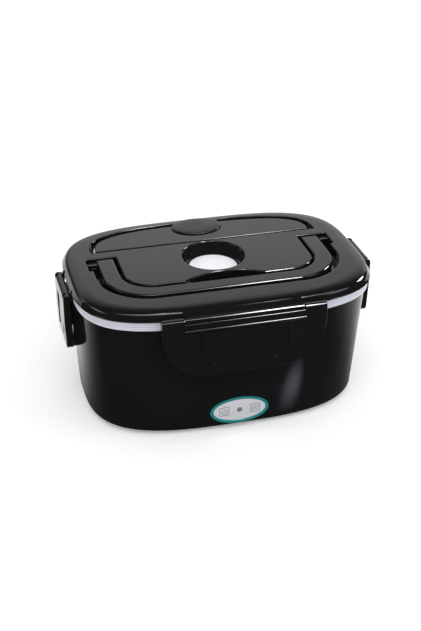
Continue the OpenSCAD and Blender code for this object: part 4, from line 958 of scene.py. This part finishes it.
# Cutlery cover
# A D-shaped flap over the compartment at the back, hinged along its straight edge, with an oval
# thumb tab that stands above the lid.
cover_a = 83.3
cover_b = 29.6
cover_front = 31.7
cover_top = z_top - 0.1
tab_y = 55.3
cover = levels(half_moon(cover_a, cover_b, cover_front),
               [(cover_top - 2.4, 0.5), (cover_top - 2.2, 0.1), (cover_top - 1.9, 0)]
               + quarter(cover_top, 0.6, 1))
# The stiffening rib under its curved edge
rib = carve(prism(half_moon(cover_a - 1, cover_b - 1, cover_front)(0), z_ledge + seat,
                  cover_top - 1.2),
            removed=[prism(half_moon(cover_a - 3, cover_b - 3, cover_front)(0), z_ledge,
                           cover_top),
                     block(-90, 20, z_ledge, 90, 36.1, cover_top)])


def tab_outline(inset):
    return oval(19.5 - inset, 14 - inset, 0, tab_y)


tab = levels(tab_outline, [(z_top - 0.9, 1.2), (z_top + 0.2, 1.0), (z_top + 0.3, 0.2),
                           (z_top + 0.45, 0), (z_top + 0.6, 0.05), (z_top + 0.8, 0.3),
                           (z_top + 0.95, 0.75), (z_top + 1.05, 1.5), (z_top + 1.15, 3),
                           (z_top + 1.24, 6), (z_top + 1.29, 9.5), (z_top + 1.3, 12.5)])
# A hinge pin and the lug that carries it, on either side
hinge = []
for (x0, x1), (x2, x3) in zip(both(77.3, 88.9), both(75.3, 79.3)):
    hinge.append(prism(circle(1, -33.1, z_top - 2.8, 32), x0, x1, "X"))
    hinge.append(block(x2, 32, z_top - 4.3, x3, 35.2, z_top - 1.7))
cover = carve(cover, [rib] + hinge)
piece("cutlery_cover_flap", soften(cover), black_abs, "cutlery_lid", "black_plastic",
      "cutlery_cover")
# ABS with a fine satin texture from the tool, so the thumb tab stays darker than the flap.
satin_abs = moulded("black_abs_satin", "#151516", "#19191a", 0.3, 1.46, 5, 0.004, 0.5, 0.002)
piece("cutlery_cover_tab", soften(tab), satin_abs, "cutlery_lid", "black_plastic")


# Vent plug
# A soft white button in the well: pull it up to let the steam out. It is moulded in silicone
# as one turned shape, a stem through the lid and a domed disc, and its face is sanded.
button = spun([
    (5.6, z_liner - 1.2), (6, z_liner - 1.2), (7, z_liner), (7, z_well + 0.1),
    (17.8, z_well + 0.1), (18.15, z_well + 0.25), (18.3, z_well + 0.6), (18.1, z_well + 1.0),
    (17.6, z_well + 1.3), (16.2, z_well + 1.6), (14, z_well + 1.9), (11, z_well + 2.15),
    (7.5, z_well + 2.33), (4, z_well + 2.44), (1.2, z_well + 2.49)], 0, well_y)
# Sanded silicone: white and matt, with the fine sparkle of the sanding, partly real from bumps
# and partly painted.
# Its grains are bumps drawn 0.9 mm wide and its specks 1.6 mm, coarser than the real ones, so
# that they show.
# The specks are painted sparkle: clouds of two shades of white that stand in for the glints of
# the sanded face.
vent_silicone = moulded("white_silicone_sanded", "#ffffff", "#dcdfe9", 0.4, 1.41, 4, 0.02, 0.9,
                        0.3, 1.6)
piece("vent_plug_button", button, vent_silicone, "plug", "vent_silicone", "vent_plug")


# Latches
# Four clip latches hang on steel pins in the lid and hook under ledges on the shell. The wide
# front one has a bar round the lid's boss; the other three hang lower, between two ears.
latch_low = 54.6  # lower edge of the back and the end latches
ear_free = 1.5  # half width of the slots for the ears


def latch(half, face, axis, axis_z, barrel, low, corner, wall_rim, lean, hook_half):
    """A hollow flap drawn at the front, its round top on the pin and its hook inside."""
    inner_low = wall_rim - lean * (z_rim - low) + 4.6  # its lower edge clears the shell's wall
    tip = wall_rim - lean * (z_rim - keeper_top + 2.5) + 0.8
    hook_top = keeper_top - 2.8
    r = barrel - 0.2
    flap = front_rounded(half, low, axis_z + 8, corner, 20)
    side = [(inner_low, low - 1), (face - 1, low - 1), (face, low + 22)]
    side += arc(face - r, axis_z + 0.2, r, 0, 90, 10) + arc(axis, axis_z, barrel, 90, 200, 14)
    side.append((axis - barrel + 0.8, axis_z - 3.5))
    body = carve(prism(side, -half - 1, half + 1, "X"),
                 kept=[prism(flap(0), -face - 1, 0, "Y")])
    hollow = carve(prism([(0, low - 2), (face - 3.2, low - 2), (face - 2.2, low + 22),
                          (face - 2.2, axis_z - 4.4), (0, axis_z - 4.4)], -half - 1, half + 1,
                         "X"),
                   kept=[prism(flap(2.2), -face - 1, 0, "Y")])
    body = carve(body, removed=[hollow])
    panel = front_rounded(half * 0.535, low + 7.8, axis_z - 7.4, min(15, corner * 1.1), 20)(0)
    hook = block(-hook_half, 1.3 - face, hook_top - 4.2, hook_half, -tip, hook_top)
    return carve(body, [hook],
                 [prism(circle(1.25, axis, axis_z, 24), -half + 0.6, half - 0.6, "X"),
                  prism(panel, -face - 1, 0.6 - face, "Y")])


def swing_room(axis, axis_z, radius, above, spans):
    """What a latch leaves free, along X, for the boss or the ears that it turns round."""
    made = []
    for x0, x1 in spans:
        made += [prism(outline, x0, x1, "X") for outline in (
            circle(radius, axis, axis_z, 48),
            rectangle(axis - 20, axis_z + above, axis + 10, axis_z + 20),
            rectangle(axis - 20, axis_z - radius, axis, axis_z + 17))]
    return made


# The front clip's bar: a bead, a groove and a lower lip, as [beyond the face, above the pin]
front_face = lid_b + 6.1
bar = [(front_face + u, front_axis_z + v) for u, v in (
    (-2.6, -0.4), (0.35, -0.4), (0.8, -0.55), (1.1, -0.9), (1.25, -1.4), (1.3, -2.0),
    (1.25, -2.6), (1.1, -3.1), (0.8, -3.45), (0.35, -3.6), (-0.2, -3.6), (-0.2, -4.9),
    (0.35, -4.9), (0.75, -5.0), (1.05, -5.25), (1.22, -5.65), (1.25, -6.1), (1.15, -6.6),
    (0.85, -7.0), (0.4, -7.2), (-0.1, -7.3), (-2.6, -7.3))]
room = swing_room(front_axis, front_axis_z, 2.95, -0.4, [(-42.9, 42.9)])
front = latch(half=59, face=front_face, axis=front_axis, axis_z=front_axis_z, barrel=2.8, low=56,
              corner=34, wall_rim=shell_b, lean=lean_b, hook_half=20)
front = soften(carve(front, removed=[mesh.copy() for mesh in room]), 0.6)
front = carve(front, [soften(carve(prism(bar, -43.5, 43.5, "X"), removed=room), 0.2)])
piece("front_clip_latch", front, black_abs, "latch_front", "black_plastic", "front_latch")


def low_latch(half, face, axis, ear_x, wall_rim, lean, hook_half):
    """A latch between two ears, as at the back and the ends, drawn at the front."""
    made = latch(half, face, axis, side_axis_z, 2.5, latch_low, 5, wall_rim, lean, hook_half)
    room = swing_room(axis, side_axis_z, 2.55, 0, both(ear_x - ear_free, ear_x + ear_free))
    return soften(carve(made, removed=room), 0.45)


for name, angle in (("left", -90), ("right", 90)):
    made = low_latch(19.8, lid_a + 6.1, end_axis, end_ear_x, shell_a, lean_a, 13.1)
    piece(name + "_clip_latch", turned(made, angle, end_shift), black_abs, "latch_" + name,
          "black_plastic", name + "_latch")
made = low_latch(30, lid_b + 7.4, back_axis, back_ear_x, shell_b, lean_b, 23.3)
piece("back_clip_latch", turned(made, 180), black_abs, "latch_back", "black_plastic",
      "back_latch")
